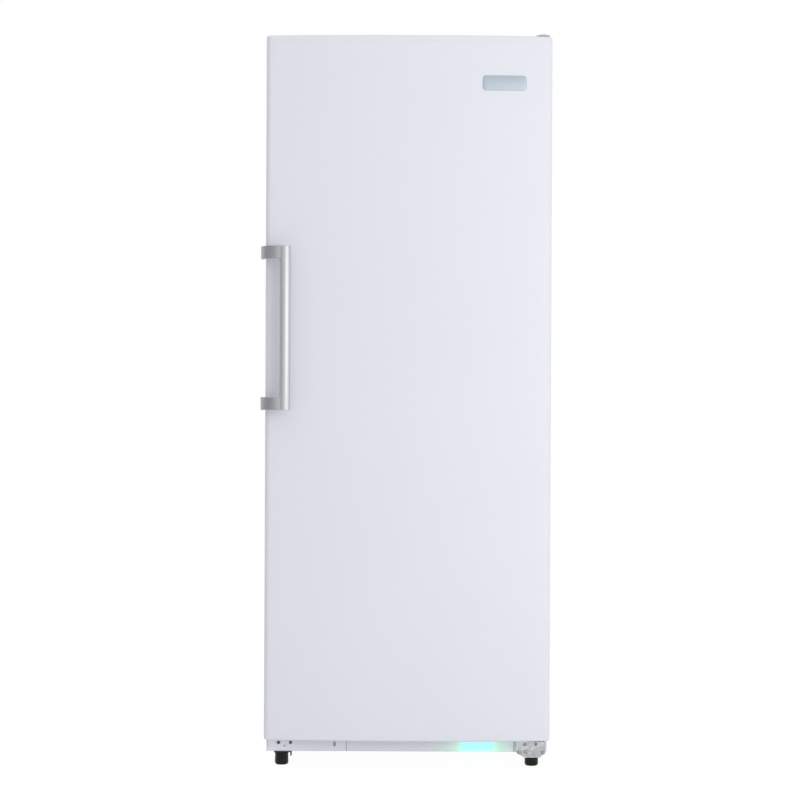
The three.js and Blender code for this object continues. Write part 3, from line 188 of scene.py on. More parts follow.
# Finishes: patterns count features per metre, depths are metres, and wander is how far a roughness strays
enamel = {"colour": "e4e5ec", "tint": "e1e3eb", "cloud": 3, "peel": 420, "peelDepth": 0.00002,
          "roughness": 0.46, "wander": 0.08, "coat": 0.05, "coatRoughness": 0.3}
moulded = {"colour": "e9eaef", "tint": "e5e6ea", "cloud": 6, "grain": 1100, "grainDepth": 0.00003,
           "roughness": 0.44, "wander": 0.12}
galvanised = {"light": "dcdfe2", "dark": "c0c4c9", "spangle": 130, "frost": 900, "frostShare": 0.3,
              "frostDepth": 0.00001, "roughness": 0.36, "spangleWander": 0.14, "frostWander": 0.1}
brushed = {"colour": "d1d2d4", "dark": "c5c6c9", "lines": 1400, "lineDepth": 0.000008, "roughness": 0.5,
           "wander": 0.16, "upright": (1, 1, 0.008), "level": (0.01, 1, 1)}
blackResin = {"colour": "19191b", "tint": "242427", "cloud": 40, "grain": 1500, "grainDepth": 0.00003,
              "roughness": 0.46, "wander": 0.16}
foamed = {"dark": "d8bd7c", "light": "e9cc98", "pores": 700, "lumps": 90, "depth": 0.0006,
          "roughness": 0.85, "wander": 0.1}
vinyl = {"colour": "d6d7db", "tint": "dddee2", "cloud": 12, "skin": 700, "skinDepth": 0.00003,
         "roughness": 0.58, "wander": 0.12}
clear = {"index": 1.49, "wander": 0.04, "ripple": 60, "rippleDepth": 0.00004}
drawn = {"tarnish": 70, "clean": 0.45, "stained": 0.75, "wander": 0.15, "marks": 900, "markDepth": 0.00001}
coated = {"colour": "eceef1", "tint": "f1f2f4", "drip": 160, "dripDepth": 0.00008, "roughness": 0.36,
          "wander": 0.08, "coat": 0.2, "coatRoughness": 0.15}


def whiteEnamel(name="whiteEnamel", tone=enamel["colour"], tint=enamel["tint"]):
    paint = Finish(name, Metallic=0.0, Coat_Roughness=enamel["coatRoughness"])
    cloud = paint.noise(enamel["cloud"], 1)
    paint.set(Base_Color=paint.mix(cloud, tone, tint))
    peel = paint.noise(enamel["peel"], 2)
    paint.set(Roughness=enamel["roughness"] + (peel - 0.5) * enamel["wander"])
    paint.set(Coat_Weight=enamel["coat"] + cloud * enamel["coat"])
    paint.bump(peel, enamel["peelDepth"], 0.5)
    return paint


def whiteMoulding(name="whiteMoulding", tone=moulded["colour"], tint=moulded["tint"]):
    resin = Finish(name)
    resin.set(Base_Color=resin.mix(resin.noise(moulded["cloud"], 2), tone, tint))
    grain = resin.noise(moulded["grain"], 3)
    resin.set(Roughness=moulded["roughness"] + (grain - 0.5) * moulded["wander"])
    resin.bump(grain, moulded["grainDepth"], 0.6)
    return resin


def galvanisedSteel(name="galvanisedSteel", light=galvanised["light"], dark=galvanised["dark"]):
    zinc = Finish(name, Metallic=0.85)
    crystal = zinc.cells(galvanised["spangle"])
    facet = zinc.node("ShaderNodeSeparateColor", inputs={0: crystal})
    frost = zinc.noise(galvanised["frost"], 3)
    share = galvanised["frostShare"]
    zinc.set(Base_Color=zinc.mix(facet * (1 - share) + frost * share, dark, light))
    wander = galvanised["roughness"] + (facet - 0.5) * galvanised["spangleWander"]
    zinc.set(Roughness=wander + (frost - 0.5) * galvanised["frostWander"])
    zinc.bump(frost, galvanised["frostDepth"], 0.4)
    return zinc


def brushedMetal(name, tone, shade, stretch, roughness=brushed["roughness"]):
    metal = Finish(name, Metallic=1.0)
    lines = metal.noise(brushed["lines"], 3, stretch)
    metal.set(Base_Color=metal.mix(lines, shade, tone))
    metal.set(Roughness=roughness + (lines - 0.5) * brushed["wander"])
    metal.bump(lines, brushed["lineDepth"], 0.35)
    return metal


def blackMoulding(name, tone=blackResin["colour"], tint=blackResin["tint"],
                  roughness=blackResin["roughness"], **steady):
    resin = Finish(name, **steady)
    grain = resin.noise(blackResin["grain"], 3)
    resin.set(Base_Color=resin.mix(resin.noise(blackResin["cloud"], 2), tone, tint))
    resin.set(Roughness=roughness + (grain - 0.5) * blackResin["wander"])
    resin.bump(grain, blackResin["grainDepth"], 0.5)
    return resin


def rigidFoam():
    foam = Finish("rigidFoam")
    pores = foam.cells(foamed["pores"], "Distance")
    lumps = foam.noise(foamed["lumps"], 4)
    foam.set(Base_Color=foam.mix(lumps, foamed["dark"], foamed["light"]))
    foam.set(Roughness=foamed["roughness"] + lumps * foamed["wander"])
    foam.bump(pores * 0.5 + lumps, foamed["depth"], 0.7)
    return foam


def softVinyl():
    fold = Finish("softVinyl")
    skin = fold.noise(vinyl["skin"], 3)
    fold.set(Base_Color=fold.mix(fold.noise(vinyl["cloud"], 2), vinyl["colour"], vinyl["tint"]))
    fold.set(Roughness=vinyl["roughness"] + skin * vinyl["wander"])
    fold.bump(skin, vinyl["skinDepth"], 0.5)
    return fold


def clearSheet(name, tone, tint, roughness, through, cloud):
    sheet = Finish(name, IOR=clear["index"], Transmission_Weight=through)
    swirl = sheet.noise(cloud, 2)
    sheet.set(Base_Color=sheet.mix(swirl, tone, tint))
    sheet.set(Roughness=roughness + swirl * clear["wander"])
    sheet.bump(sheet.noise(clear["ripple"], 1), clear["rippleDepth"], 0.3)
    return sheet


def tubeMetal(name, tone, stain, roughness):
    metal = Finish(name, Metallic=1.0)
    tarnish = metal.noise(drawn["tarnish"], 4)
    stained = metal.ramp(tarnish, (drawn["clean"], 0.0), (drawn["stained"], 1.0))
    metal.set(Base_Color=metal.mix(stained, tone, stain))
    metal.set(Roughness=roughness + tarnish * drawn["wander"])
    metal.bump(metal.noise(drawn["marks"], 2), drawn["markDepth"], 0.4)
    return metal


def coatedWire():
    coat = Finish("coatedWire", Coat_Roughness=coated["coatRoughness"])
    drip = coat.noise(coated["drip"], 3)
    coat.set(Base_Color=coat.mix(drip, coated["colour"], coated["tint"]))
    coat.set(Roughness=coated["roughness"] + drip * coated["wander"], Coat_Weight=drip * coated["coat"])
    coat.bump(drip, coated["dripDepth"], 0.4)
    return coat


lensLow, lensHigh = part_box("power_light_lens")
lensMiddle = (lensLow + lensHigh) / 2
# The lens, and the glow of its light painted into the rail's enamel around it, with lengths in metres
glow = {"face": "8cd9d9", "frosted": "84d2d2", "grain": 500, "grainDepth": 0.00005, "roughness": 0.3,
        "light": "95cbcb", "endLight": "7ecbb0", "strength": 1.0, "ends": 0.012, "stray": 0.2,
        "paintedSpill": "00ff99", "paintedLineGlow": "00ffff", "around": 0.4, "reach": 0.024, "edge": 0.004, "rim": 0.006}


def beyondLens(paint, letter="X"):  # metres past the lens along an axis, under 0 within it
    return abs(paint.axis(letter, lensMiddle)) - (lensHigh - lensLow)["XYZ".index(letter)] / 2


def litLens():
    lens = Finish("litLens", Roughness=glow["roughness"], Emission_Strength=glow["strength"])
    frost = lens.noise(glow["grain"], 2)
    toEnd = beyondLens(lens) / glow["ends"] + 1 + (frost - 0.5) * glow["stray"]  # 0 to 1 over the ends
    lens.set(Base_Color=lens.mix(frost, glow["face"], glow["frosted"]))
    lens.set(Emission_Color=lens.ramp(toEnd, (0.0, glow["light"]), (1.0, glow["endLight"])))
    lens.bump(frost, glow["grainDepth"], 0.5)
    return lens


def railEnamelPaintedLight():
    # The rail's enamel is lighter than the door's: painted light where the door's overhang shades the rail
    paint = whiteEnamel("railEnamelPaintedLight", "f3f4f9", "eff0f5")
    # Painted glow of the lens's light on the rail, which is no lamp: a pool that fades away from the lens,
    # and a brighter line just over and under it
    aside, above = beyondLens(paint, "X"), beyondLens(paint, "Z")
    outX = aside.maths("MAXIMUM", aside, 0.0)
    outZ = above.maths("MAXIMUM", above, 0.0)
    away = outX * outX + outZ * outZ
    fade = away.maths("SQRT", away) / -glow["reach"]
    paintedSpill = paint.mix(fade.maths("EXPONENT", fade), "000000", glow["paintedSpill"])
    paintedLineMask = paint.ramp(aside / glow["edge"] + 0.5, (0.0, 1.0), (1.0, 0.0))
    paintedLineMask = paintedLineMask * paint.ramp(outZ / glow["rim"], (0.0, 1.0), (1.0, 0.0))  # just over and under the lens
    paint.set(Emission_Color=paint.mix(paintedLineMask, paintedSpill, glow["paintedLineGlow"]), Emission_Strength=glow["around"])
    return paint


finishes = {  # by the record's material slots
    "white_paint": whiteEnamel(),
    "white_plastic": whiteMoulding(),
    "rail_paint": railEnamelPaintedLight(),
    "zinc_steel": galvanisedSteel(),
    "satin_metal": brushedMetal("satinMetal", brushed["colour"], brushed["dark"], brushed["upright"]),
    "foam": rigidFoam(),
    "seal_rubber": softVinyl(),
    "black_plastic": blackMoulding("blackMoulding"),
    "nylon": whiteMoulding("naturalNylon", "e9e6dc", "e2dfd3"),
    "clear_glass": clearSheet("clearGlass", "d5ebe6", "ffffff", 0.02, 0.96, 5),
    "clear_plastic": clearSheet("clearPlastic", "f1f5f9", "f1f5f9", 0.14, 0.55, 9),
    "lamp_green": litLens(),
    "copper": tubeMetal("drawnCopper", "b87348", "7d4a33", 0.26),
    "aluminium": tubeMetal("plainAluminium", "c6c9cc", "a9acb0", 0.28),
    "black_steel": blackMoulding("blackEnamel", "1d1e21", "232427", 0.36),
    "wire_coat": coatedWire(),
}
platedScrew = galvanisedSteel("platedScrew", "d3d6da", "b3b7bc")
bracketZinc = galvanisedSteel("bracketZinc", "cfd2d4", "a3a6aa")
# A darker grey metal than the bracket's zinc, for its screws, bolts and hole
darkerBoltMetal = tubeMetal("darkerBoltMetal", "9a9b9f", "74757a", 0.4)
strapMetal = brushedMetal("strapMetal", "bbbcbe", "afb0b3", brushed["upright"], 0.46)
barePlate = brushedMetal("barePlate", "b2bbc5", "a5afb9", brushed["level"], 0.46)
barePlate.set(Metallic=0.55)
legResin = blackMoulding("legResin", "0b0b0c", "121214", 0.4, Specular_IOR_Level=0.22)
darkGap = blackMoulding("darkGap", "85868c", "7a7b81", 0.8)
# Flat grey spots for the rail's hole and slot: painted shade inside the openings
paintedOpeningShade = blackMoulding("paintedOpeningShade", "a9aab0", "9fa0a6", 0.8)
railScrew = tubeMetal("railScrew", "6c6d71", "4c4d50", 0.4)
darkBracket = blackMoulding("darkBracket", "3a3a3c", "2e2e30", 0.5)
capEnamel = whiteEnamel("capEnamel")
# A greyer copy of the white moulding for the top hinge cover: painted shade
shadedHingeMoulding = whiteMoulding("shadedHingeMoulding", "cfd0d5", "c9cbd0")
print("finishes ready:", len(finishes))


# Shape helpers
softEdge = {"segments": 3, "angle": 40}
cadMesh = {"merge": 0.000002, "flat": 0.6}  # metres, and the angle in degrees that still counts as flat
near = 0.01  # millimetres that still count as touching
spinWeld = 0.001
discThick = 0.3
blockSteps = 6


def setDown(shape, name, body, slot, stands=(), finish=None, sharp=32, place=toFrame, bevel=None):
    shape.transform(place)
    mesh = bpy.data.meshes.new(name)
    shape.to_mesh(mesh)
    shape.free()
    mesh.polygons.foreach_set("use_smooth", [True] * len(mesh.polygons))
    mesh.set_sharp_from_angle(angle=math.radians(sharp))
    mesh.materials.append((finish or finishes[slot]).material)
    piece = bpy.data.objects.new(name, mesh)
    scene.collection.objects.link(piece)
    if bevel:
        edge = piece.modifiers.new("edge", "BEVEL")
        edge.width = bevel * millimetre
        edge.segments = softEdge["segments"]
        edge.limit_method = "ANGLE"
        edge.angle_limit = math.radians(softEdge["angle"])
        edge.harden_normals = True
    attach(piece, body)
    if stands:
        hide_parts(*stands)


def soften(node, bevel, finish=None, press=None):  # a copy of a CAD node with merged faces and soft edges
    source = frame["nodes"][node]
    shape = bmesh.new()
    shape.from_mesh(source.data)
    bmesh.ops.remove_doubles(shape, verts=shape.verts, dist=cadMesh["merge"])
    flat = math.radians(cadMesh["flat"])
    bmesh.ops.dissolve_limit(shape, angle_limit=flat, verts=shape.verts, edges=shape.edges)
    bmesh.ops.recalc_face_normals(shape, faces=shape.faces)
    if press:
        press(shape)
    slot = next(part["material_slot"] for part in frame["record"]["subparts"] if part["node"] == node)
    setDown(shape, node + "_finished", source["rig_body"], slot, [node], finish,
            place=Matrix.Identity(4), bevel=bevel)


def picked(geometry, kind=bmesh.types.BMVert):  # what is of one kind in an operator's result
    return [g for g in geometry if isinstance(g, kind)]


def roundOff(shape, edges, offset, segments, clamp=False):
    bmesh.ops.bevel(shape, geom=edges, offset=offset, segments=segments, profile=0.5, affect="EDGES",
                    material=-1, clamp_overlap=clamp)


def pullEdges(shape, edges, way):
    grown = bmesh.ops.extrude_edge_only(shape, edges=edges)["geom"]
    bmesh.ops.translate(shape, verts=picked(grown), vec=way)
    return grown


def pullFaces(shape, faces, way):
    grown = bmesh.ops.extrude_face_region(shape, geom=faces)["geom"]
    bmesh.ops.translate(shape, verts=picked(grown), vec=way)
    return grown


def sweep(shape, geometry, centre, axis, angle, steps):  # an open turn; returns its far end
    return bmesh.ops.spin(shape, geom=geometry, cent=centre, axis=axis, dvec=(0, 0, 0), angle=angle,
                          steps=steps, use_merge=False, use_duplicate=False)["geom_last"]


def cutAcross(shape, point, normal):
    bmesh.ops.bisect_plane(shape, geom=shape.verts[:] + shape.edges[:] + shape.faces[:],
                           plane_co=point, plane_no=normal)


def facing(centre, axis):  # sets what stands on Z at a centre, along an axis
    turn = Vector((0, 0, 1)).rotation_difference(Vector(axis)).to_matrix().to_4x4()
    return Matrix.Translation(centre) @ turn


def runsAlongY(edge):
    first, second = edge.verts
    return abs((first.co - second.co).normalized().y) > 0.9


def block(shape, low, high, rounding=None):  # rounding is for the corners of the face that looks forward
    middle = (Vector(low) + Vector(high)) / 2
    size = Vector(high) - Vector(low)
    placed = Matrix.Translation(middle) @ Matrix.Diagonal((*size, 1))
    made = bmesh.ops.create_cube(shape, size=1, matrix=placed)["verts"]
    if rounding:
        around = {edge for vert in made for edge in vert.link_edges}
        roundOff(shape, [edge for edge in around if runsAlongY(edge)], rounding, blockSteps, clamp=True)


def disc(shape, place, radius, segments):  # a thin round spot on a face that looks forward
    placed = Matrix.Translation(place) @ Matrix.Rotation(math.pi / 2, 4, "X")
    bmesh.ops.create_cone(shape, cap_ends=True, segments=segments, radius1=radius, radius2=radius,
                          depth=discThick, matrix=placed)


def turnAbout(shape, points, centre, steps, axis=(0, 0, 1)):  # points give radius and height
    radial = Vector((1, 0, 0)) if abs(Vector(axis).x) < 0.5 else Vector((0, 1, 0))
    made = [shape.verts.new(Vector(centre) + radial * r + Vector(axis) * h) for r, h in points]
    chain = [shape.edges.new(pair) for pair in zip(made, made[1:])]
    before = set(shape.faces)
    bmesh.ops.spin(shape, geom=made + chain, cent=centre, axis=axis, dvec=(0, 0, 0), angle=2 * math.pi,
                   steps=steps, use_merge=True)
    faces = [face for face in shape.faces if face not in before]
    verts = list({vert for face in faces for vert in face.verts})
    bmesh.ops.remove_doubles(shape, verts=verts, dist=spinWeld)
    faces = [face for face in shape.faces if face not in before]
    bmesh.ops.recalc_face_normals(shape, faces=faces)
    return faces


# A move is a run with its length, or a turn with its angle, bend radius, axis and steps
def bentWire(shape, start, heading, radius, moves, sides=10):
    heading = Vector(heading)
    ring = bmesh.ops.create_circle(shape, cap_ends=True, radius=radius, segments=sides,
                                   matrix=facing(start, heading))["verts"]
    edges = list({e for v in ring for e in v.link_edges if e.other_vert(v) in ring})
    centre = Vector(start)
    for move in moves:
        if move[0] == "run":
            step = heading * move[1]
            grown = pullEdges(shape, edges, step)
            verts = picked(grown)
            centre = centre + step
            edges = [e for e in picked(grown, bmesh.types.BMEdge) if all(v in verts for v in e.verts)]
        else:
            angle, bend, axis, steps = move[1:]
            side = Vector(axis).cross(heading) * (1 if angle > 0 else -1)
            pivot = centre + side * bend
            edges = picked(sweep(shape, edges, pivot, axis, angle, steps), bmesh.types.BMEdge)
            swing = Matrix.Rotation(angle, 3, Vector(axis))
            heading = swing @ heading
            centre = pivot + swing @ (centre - pivot)
    bmesh.ops.edgeloop_fill(shape, edges=edges)


forward = (0, -1, 0)
screw = {"height": 0.45, "rim": 0.35, "shoulder": 0.8, "top": 0.55, "recess": 0.5, "recessDepth": 0.7,
         "steps": 24, "armAngle": 15}  # all but the last two are shares of the radius or the height
bolt = {"washer": 1.25, "washerThick": 0.8, "edge": 0.4}


def screwHead(shape, centre, radius, axis=forward, height=None):  # a domed head with a cross recess
    height = height or radius * screw["height"]
    shoulder = screw["shoulder"]
    dome = [(radius, 0), (radius, height * screw["rim"]), (radius * shoulder, height * shoulder),
            (radius * screw["top"], height), (0, height)]
    faces = turnAbout(shape, dome, (0, 0, 0), screw["steps"])
    reach = radius * screw["recess"]
    flat = [f for f in faces if f.normal.z > 0.9 and f.calc_center_median().to_2d().length < reach]
    arms = [f for f in flat
            if math.degrees(math.atan2(*f.calc_center_median().to_2d())) % 90 < screw["armAngle"]]
    deep = picked(bmesh.ops.extrude_face_region(shape, geom=arms)["geom"])
    bmesh.ops.delete(shape, geom=arms, context="FACES_ONLY")
    bmesh.ops.translate(shape, verts=deep, vec=(0, 0, -height * screw["recessDepth"]))
    verts = {v for f in faces if f.is_valid for v in f.verts} | set(deep)
    bmesh.ops.transform(shape, matrix=facing(centre, axis), verts=list(verts))


def boltHead(shape, centre, radius, height):  # a hexagon on its washer
    thick = bolt["washerThick"]
    for size, low, high, sides in ((radius * bolt["washer"], 0, thick, 32), (radius, thick, height, 6)):
        placed = facing(centre, forward) @ Matrix.Translation((0, 0, (low + high) / 2))
        made = bmesh.ops.create_cone(shape, cap_ends=True, segments=sides, radius1=size, radius2=size,
                                     depth=high - low, matrix=placed)
        rim = {edge for vert in made["verts"] for edge in vert.link_edges}
        roundOff(shape, list(rim), min(bolt["edge"], (high - low) / 3), 2)


# The door: its sheet and end caps share one crowned outline
skinLow, skinHigh = space("door_skin")
capLow, capHigh = space("door_cap_bottom")[0], space("door_cap_top")[1]
door = {"crown": 15, "corner": 14, "return": 12, "sheet": 1.0, "round": 5, "seam": 0.1, "crownSteps": 40,
        "cornerSteps": 8}
doorHalf = skinHigh.x
doorRear = skinHigh.y
crownPeak = skinLow.y
bow = (doorHalf ** 2 + door["crown"] ** 2) / (2 * door["crown"])  # radius of the crown
bowCentre = crownPeak + bow


def crownFace(x):
    return bowCentre - math.sqrt(bow ** 2 - x ** 2)


def doorOutline(shape, z):  # edges round the door in plan, from its right rear to its left rear
    corner = door["corner"]
    reach = bow - corner
    cornerX = doorHalf - corner
    lean = math.asin(cornerX / reach)
    cornerY = bowCentre - math.cos(lean) * reach
    start = shape.verts.new((doorHalf, doorRear, z))
    vert = shape.verts.new((doorHalf, cornerY, z))
    shape.edges.new((start, vert))
    cornerTurn = -(math.pi / 2 - lean)
    for centre, angle, steps in (((cornerX, cornerY, z), cornerTurn, door["cornerSteps"]),
                                 ((0, bowCentre, z), -2 * lean, door["crownSteps"]),
                                 ((-cornerX, cornerY, z), cornerTurn, door["cornerSteps"])):
        vert = picked(sweep(shape, [vert], centre, (0, 0, 1), angle, steps))[0]
    end = shape.verts.new((-doorHalf, doorRear, z))
    shape.edges.new((vert, end))
    return start, end


def makeDoorSkin():
    shape = bmesh.new()
    first, last = doorOutline(shape, skinLow.z)
    for vert, side in ((first, -1), (last, 1)):  # narrow returns behind the door's sides
        turned = shape.verts.new(vert.co + Vector((side * door["return"], 0, 0)))
        shape.edges.new((vert, turned))
    pullEdges(shape, shape.edges[:], (0, 0, skinHigh.z - skinLow.z))
    bmesh.ops.recalc_face_normals(shape, faces=shape.faces)
    front = min(shape.faces, key=lambda face: face.calc_center_median().y)
    if front.normal.y > 0:
        bmesh.ops.reverse_faces(shape, faces=shape.faces)
    bmesh.ops.solidify(shape, geom=shape.faces[:], thickness=door["sheet"])
    setDown(shape, "door_sheet", "door", "white_paint", ["door_skin"], sharp=40)


def makeDoorCap(node, name, low, high, outer):
    shape = bmesh.new()
    first, last = doorOutline(shape, low)
    shape.edges.new((first, last))
    face = bmesh.ops.contextual_create(shape, geom=shape.edges[:])["faces"]
    pullFaces(shape, face, (0, 0, high - low))
    bmesh.ops.recalc_face_normals(shape, faces=shape.faces)
    rim = [e for e in shape.edges if all(abs(v.co.z - outer) < near for v in e.verts)]
    roundOff(shape, rim, door["round"], 6)
    setDown(shape, name, "door", "white_plastic", [node], finish=capEnamel, sharp=40)


makeDoorSkin()
makeDoorCap("door_cap_bottom", "door_cap_lower", capLow.z, skinLow.z - door["seam"], capLow.z)
makeDoorCap("door_cap_top", "door_cap_upper", skinHigh.z + door["seam"], capHigh.z, capHigh.z)

seal = {"width": 20, "thick": 5, "neck": 5, "lip": 0.6, "edge": 0.8, "shoulder": 0.7, "fold": 1.3}


def makeSeal():  # a base strip, a folded bellows and the magnet's head, mitred round the door
    low, high = space("door_gasket")
    width, neck, thick = seal["width"], seal["neck"], seal["thick"]
    lip, edge, shoulder = seal["lip"], seal["edge"], thick * seal["shoulder"]
    front, rear = low.y, high.y
    half = [(neck / 2, front), (neck / 2, front + shoulder), (neck, front + thick),
            (neck * seal["fold"], (front + rear) / 2), (neck, rear - thick), (lip, rear - thick),
            (0, rear - shoulder), (0, rear - edge), (edge, rear)]
    section = half[:1] + [(width - u, v) for u, v in half] + half[:0:-1]
    middleZ, halfZ = (low.z + high.z) / 2, (high.z - low.z) / 2
    shape = bmesh.new()
    rings = []
    for sideX, sideZ in ((1, 1), (-1, 1), (-1, -1), (1, -1)):
        verts = [shape.verts.new((sideX * (high.x - u), v, middleZ + sideZ * (halfZ - u)))
                 for u, v in section]
        rings.append([shape.edges.new(pair) for pair in zip(verts, verts[1:] + verts[:1])])
    for one, two in zip(rings, rings[1:] + rings[:1]):
        bmesh.ops.bridge_loops(shape, edges=one + two)
    bmesh.ops.recalc_face_normals(shape, faces=shape.faces)
    setDown(shape, "door_seal", "door", "seal_rubber", ["door_gasket"], sharp=30)


makeSeal()
soften("door_liner", 2.4)
soften("door_foam", 1.0)
for number in range(1, 6):
    soften(f"door_bin_{number}", 0.9)
for bush in ("hinge_bush_bottom", "hinge_bush_top"):
    soften(bush, 0.3)

handle = {"sides": 64, "endRound": 1.6, "strap": 7, "strapRound": 1.3, "bend": 42, "turns": 14,
          "taper": 0.3, "padStep": 1.2, "padLength": 36, "padBack": 4, "padEdge": 0.4, "padSink": 0.1}


def makeHandleBar():
    low, high = space("handle_bar")
    middle = (low + high) / 2
    shape = bmesh.new()
    ring = bmesh.ops.create_circle(shape, cap_ends=True, radius=1, segments=handle["sides"])["verts"]
    bmesh.ops.scale(shape, vec=((high.x - low.x) / 2, (high.y - low.y) / 2, 1), verts=ring)
    bmesh.ops.translate(shape, vec=(middle.x, middle.y, low.z), verts=ring)
    pullFaces(shape, shape.faces[:], (0, 0, high.z - low.z))
    bmesh.ops.recalc_face_normals(shape, faces=shape.faces)
    ends = [e for e in shape.edges if abs(e.verts[0].co.z - e.verts[1].co.z) < near]
    roundOff(shape, ends, handle["endRound"], 4)
    setDown(shape, "handle_grip", "door", "satin_metal", ["handle_bar"], sharp=40)


def makeHandleBracket(node):  # a strap bent from the door's side to the bar, on a pad
    low, high = space(node)
    barLow, barHigh = space("handle_bar")
    thick, bend = handle["strap"], handle["bend"]
    outer, front = low.x, low.y
    middle = (low.z + high.z) / 2
    faceKind = bmesh.types.BMFace
    shape = bmesh.new()
    start = bmesh.ops.create_grid(shape, x_segments=1, y_segments=1, size=0.5)["verts"]
    bmesh.ops.scale(shape, vec=(thick, high.z - low.z, 1), verts=start)
    bmesh.ops.rotate(shape, cent=(0, 0, 0), matrix=Matrix.Rotation(math.pi / 2, 3, "X"), verts=start)
    bmesh.ops.translate(shape, vec=(outer + thick / 2, high.y, middle), verts=start)
    pulled = pullFaces(shape, shape.faces[:], (0, front + bend + thick / 2 - high.y, 0))
    face = picked(pulled, faceKind)
    pivot = (outer + thick / 2 + bend, front + bend + thick / 2, 0)
    swept = sweep(shape, face, pivot, (0, 0, 1), math.pi / 2, handle["turns"])
    bmesh.ops.delete(shape, geom=face, context="FACES_ONLY")
    face = picked(swept, faceKind)
    pullFaces(shape, face, ((barLow.x + barHigh.x) / 2 - pivot[0], 0, 0))
    bmesh.ops.delete(shape, geom=face, context="FACES_ONLY")
    bmesh.ops.remove_doubles(shape, verts=shape.verts, dist=near)
    bmesh.ops.recalc_face_normals(shape, faces=shape.faces)
    padRear, padEdge = high.y - handle["padBack"], handle["padEdge"]
    block(shape, (outer + handle["padStep"], padRear - handle["padLength"], low.z + padEdge),
          (-doorHalf - handle["padSink"], padRear, high.z - padEdge))
    for vert in shape.verts:  # the arm narrows towards its pad
        back = max(0, vert.co.y - front - bend) / (high.y - front - bend)
        vert.co.z = middle + (vert.co.z - middle) * (1 - handle["taper"] * back)
    setDown(shape, node + "_strap", "door", "satin_metal", [node], strapMetal, 35,
            bevel=handle["strapRound"])


makeHandleBar()
for node in ("handle_bracket_bottom", "handle_bracket_top"):
    makeHandleBracket(node)

plaque = {"width": 109, "height": 37, "thick": 1.2, "sink": 0.4, "round": 8, "roundSteps": 8, "rim": 0.5,
          "strips": 10, "fromRight": 119.5, "fromTop": 118}


def makeBarePlate():  # a plain satin plate that follows the crown
    x, z = doorHalf - plaque["fromRight"], capHigh.z - plaque["fromTop"]
    shape = bmesh.new()
    w, h, t = plaque["width"] / 2, plaque["height"] / 2, plaque["thick"]
    block(shape, (x - w, -t, z - h), (x + w, plaque["sink"], z + h))
    roundOff(shape, [e for e in shape.edges if runsAlongY(e)], plaque["round"], plaque["roundSteps"])
    for step in range(1, plaque["strips"]):
        cutAcross(shape, (x - w + step * 2 * w / plaque["strips"], 0, 0), (1, 0, 0))
    rim = [e for e in shape.edges if len(e.link_faces) == 2 and e.calc_face_angle() > 1 and
           all(abs(v.co.y + t) < near for v in e.verts)]
    roundOff(shape, rim, plaque["rim"], 3)
    for vert in shape.verts:
        vert.co.y += crownFace(vert.co.x)
    setDown(shape, "bare_plate", "door", "satin_metal", finish=barePlate, sharp=35)


makeBarePlate()
print("door ready")

# Cabinet's outside
for node, edge in (("side_panel_left", 0.9), ("side_panel_right", 0.9), ("top_panel", 0.9),
                   ("rear_panel", 0.4), ("base_plate", 0.3), ("step_plate", 0.3), ("front_rail", 0.35),
                   ("machine_cover", 0.3), ("compressor_tray", 0.3), ("top_hinge_plate", 0.5),
                   ("power_light_lens", 0.3)):
    soften(node, edge)
soften("left_leg_bracket", 0.5, finish=darkBracket)

hingeCover = {"ridge": 337, "nose": 36, "tail": 8, "front": 0.43, "rise": 54, "across": 20, "along": 30,
              "flank": 0.85, "ends": 0.45, "lift": 0.3, "flatten": 0.97}


def makeHingeCover():  # a domed moulding over the top hinge, with a low rounded nose in front
    low, high = space("top_hinge_cover")
    tall, deep = high.z - low.z, high.y - low.y
    shape = bmesh.new()
    bmesh.ops.create_grid(shape, x_segments=hingeCover["across"], y_segments=hingeCover["along"], size=1)
    for vert in shape.verts:
        u, back = vert.co.x, (vert.co.y + 1) / 2 * deep
        ends = [min(1, dist / hingeCover[end]) for dist, end in ((back, "nose"), (deep - back, "tail"))]
        curve = min(math.sqrt(1 - (1 - end) ** 2) for end in ends)
        side = high.x - hingeCover["ridge"] if u > 0 else hingeCover["ridge"] - low.x
        share = hingeCover["front"] + (1 - hingeCover["front"]) * min(1, back / hingeCover["rise"])
        flank = math.sin(u * math.pi / 2)
        level = tall * share * curve * (1 - flank ** 2) ** hingeCover["flank"]
        wide = hingeCover["ends"] + (1 - hingeCover["ends"]) * curve
        vert.co = (hingeCover["ridge"] + flank * side * wide, low.y + back,
                   low.z + hingeCover["lift"] + level * hingeCover["flatten"])
    rim = [edge for edge in shape.edges if edge.is_boundary]
    skirt = bmesh.ops.extrude_edge_only(shape, edges=rim)["geom"]
    for vert in picked(skirt):
        vert.co.z = low.z
    bmesh.ops.holes_fill(shape, edges=[edge for edge in shape.edges if edge.is_boundary])
    bmesh.ops.recalc_face_normals(shape, faces=shape.faces)
    setDown(shape, "hinge_moulding", "cabinet", "white_plastic", ["top_hinge_cover"], shadedHingeMoulding, 60)


makeHingeCover()

# What the photograph shows on the rail: two screws and a hole at the left, a slot, and a joint strip's ends
rail = {"screws": ((-322.5, 58.5), (-292.2, 58.6)), "screwRadius": 4.2, "screwProud": 0.1,
        "hole": (-307.3, 50.3), "holeRadius": 2.4,
        "slot": (-181.4, 55.5), "slotHalf": (3, 6.5), "slotRound": 2.9, "slotProud": 0.15,
        "seams": (-151.2, 270.0), "seamHalf": 0.5, "seamSpan": (38, 74), "seamProud": 0.12, "sink": 0.1}


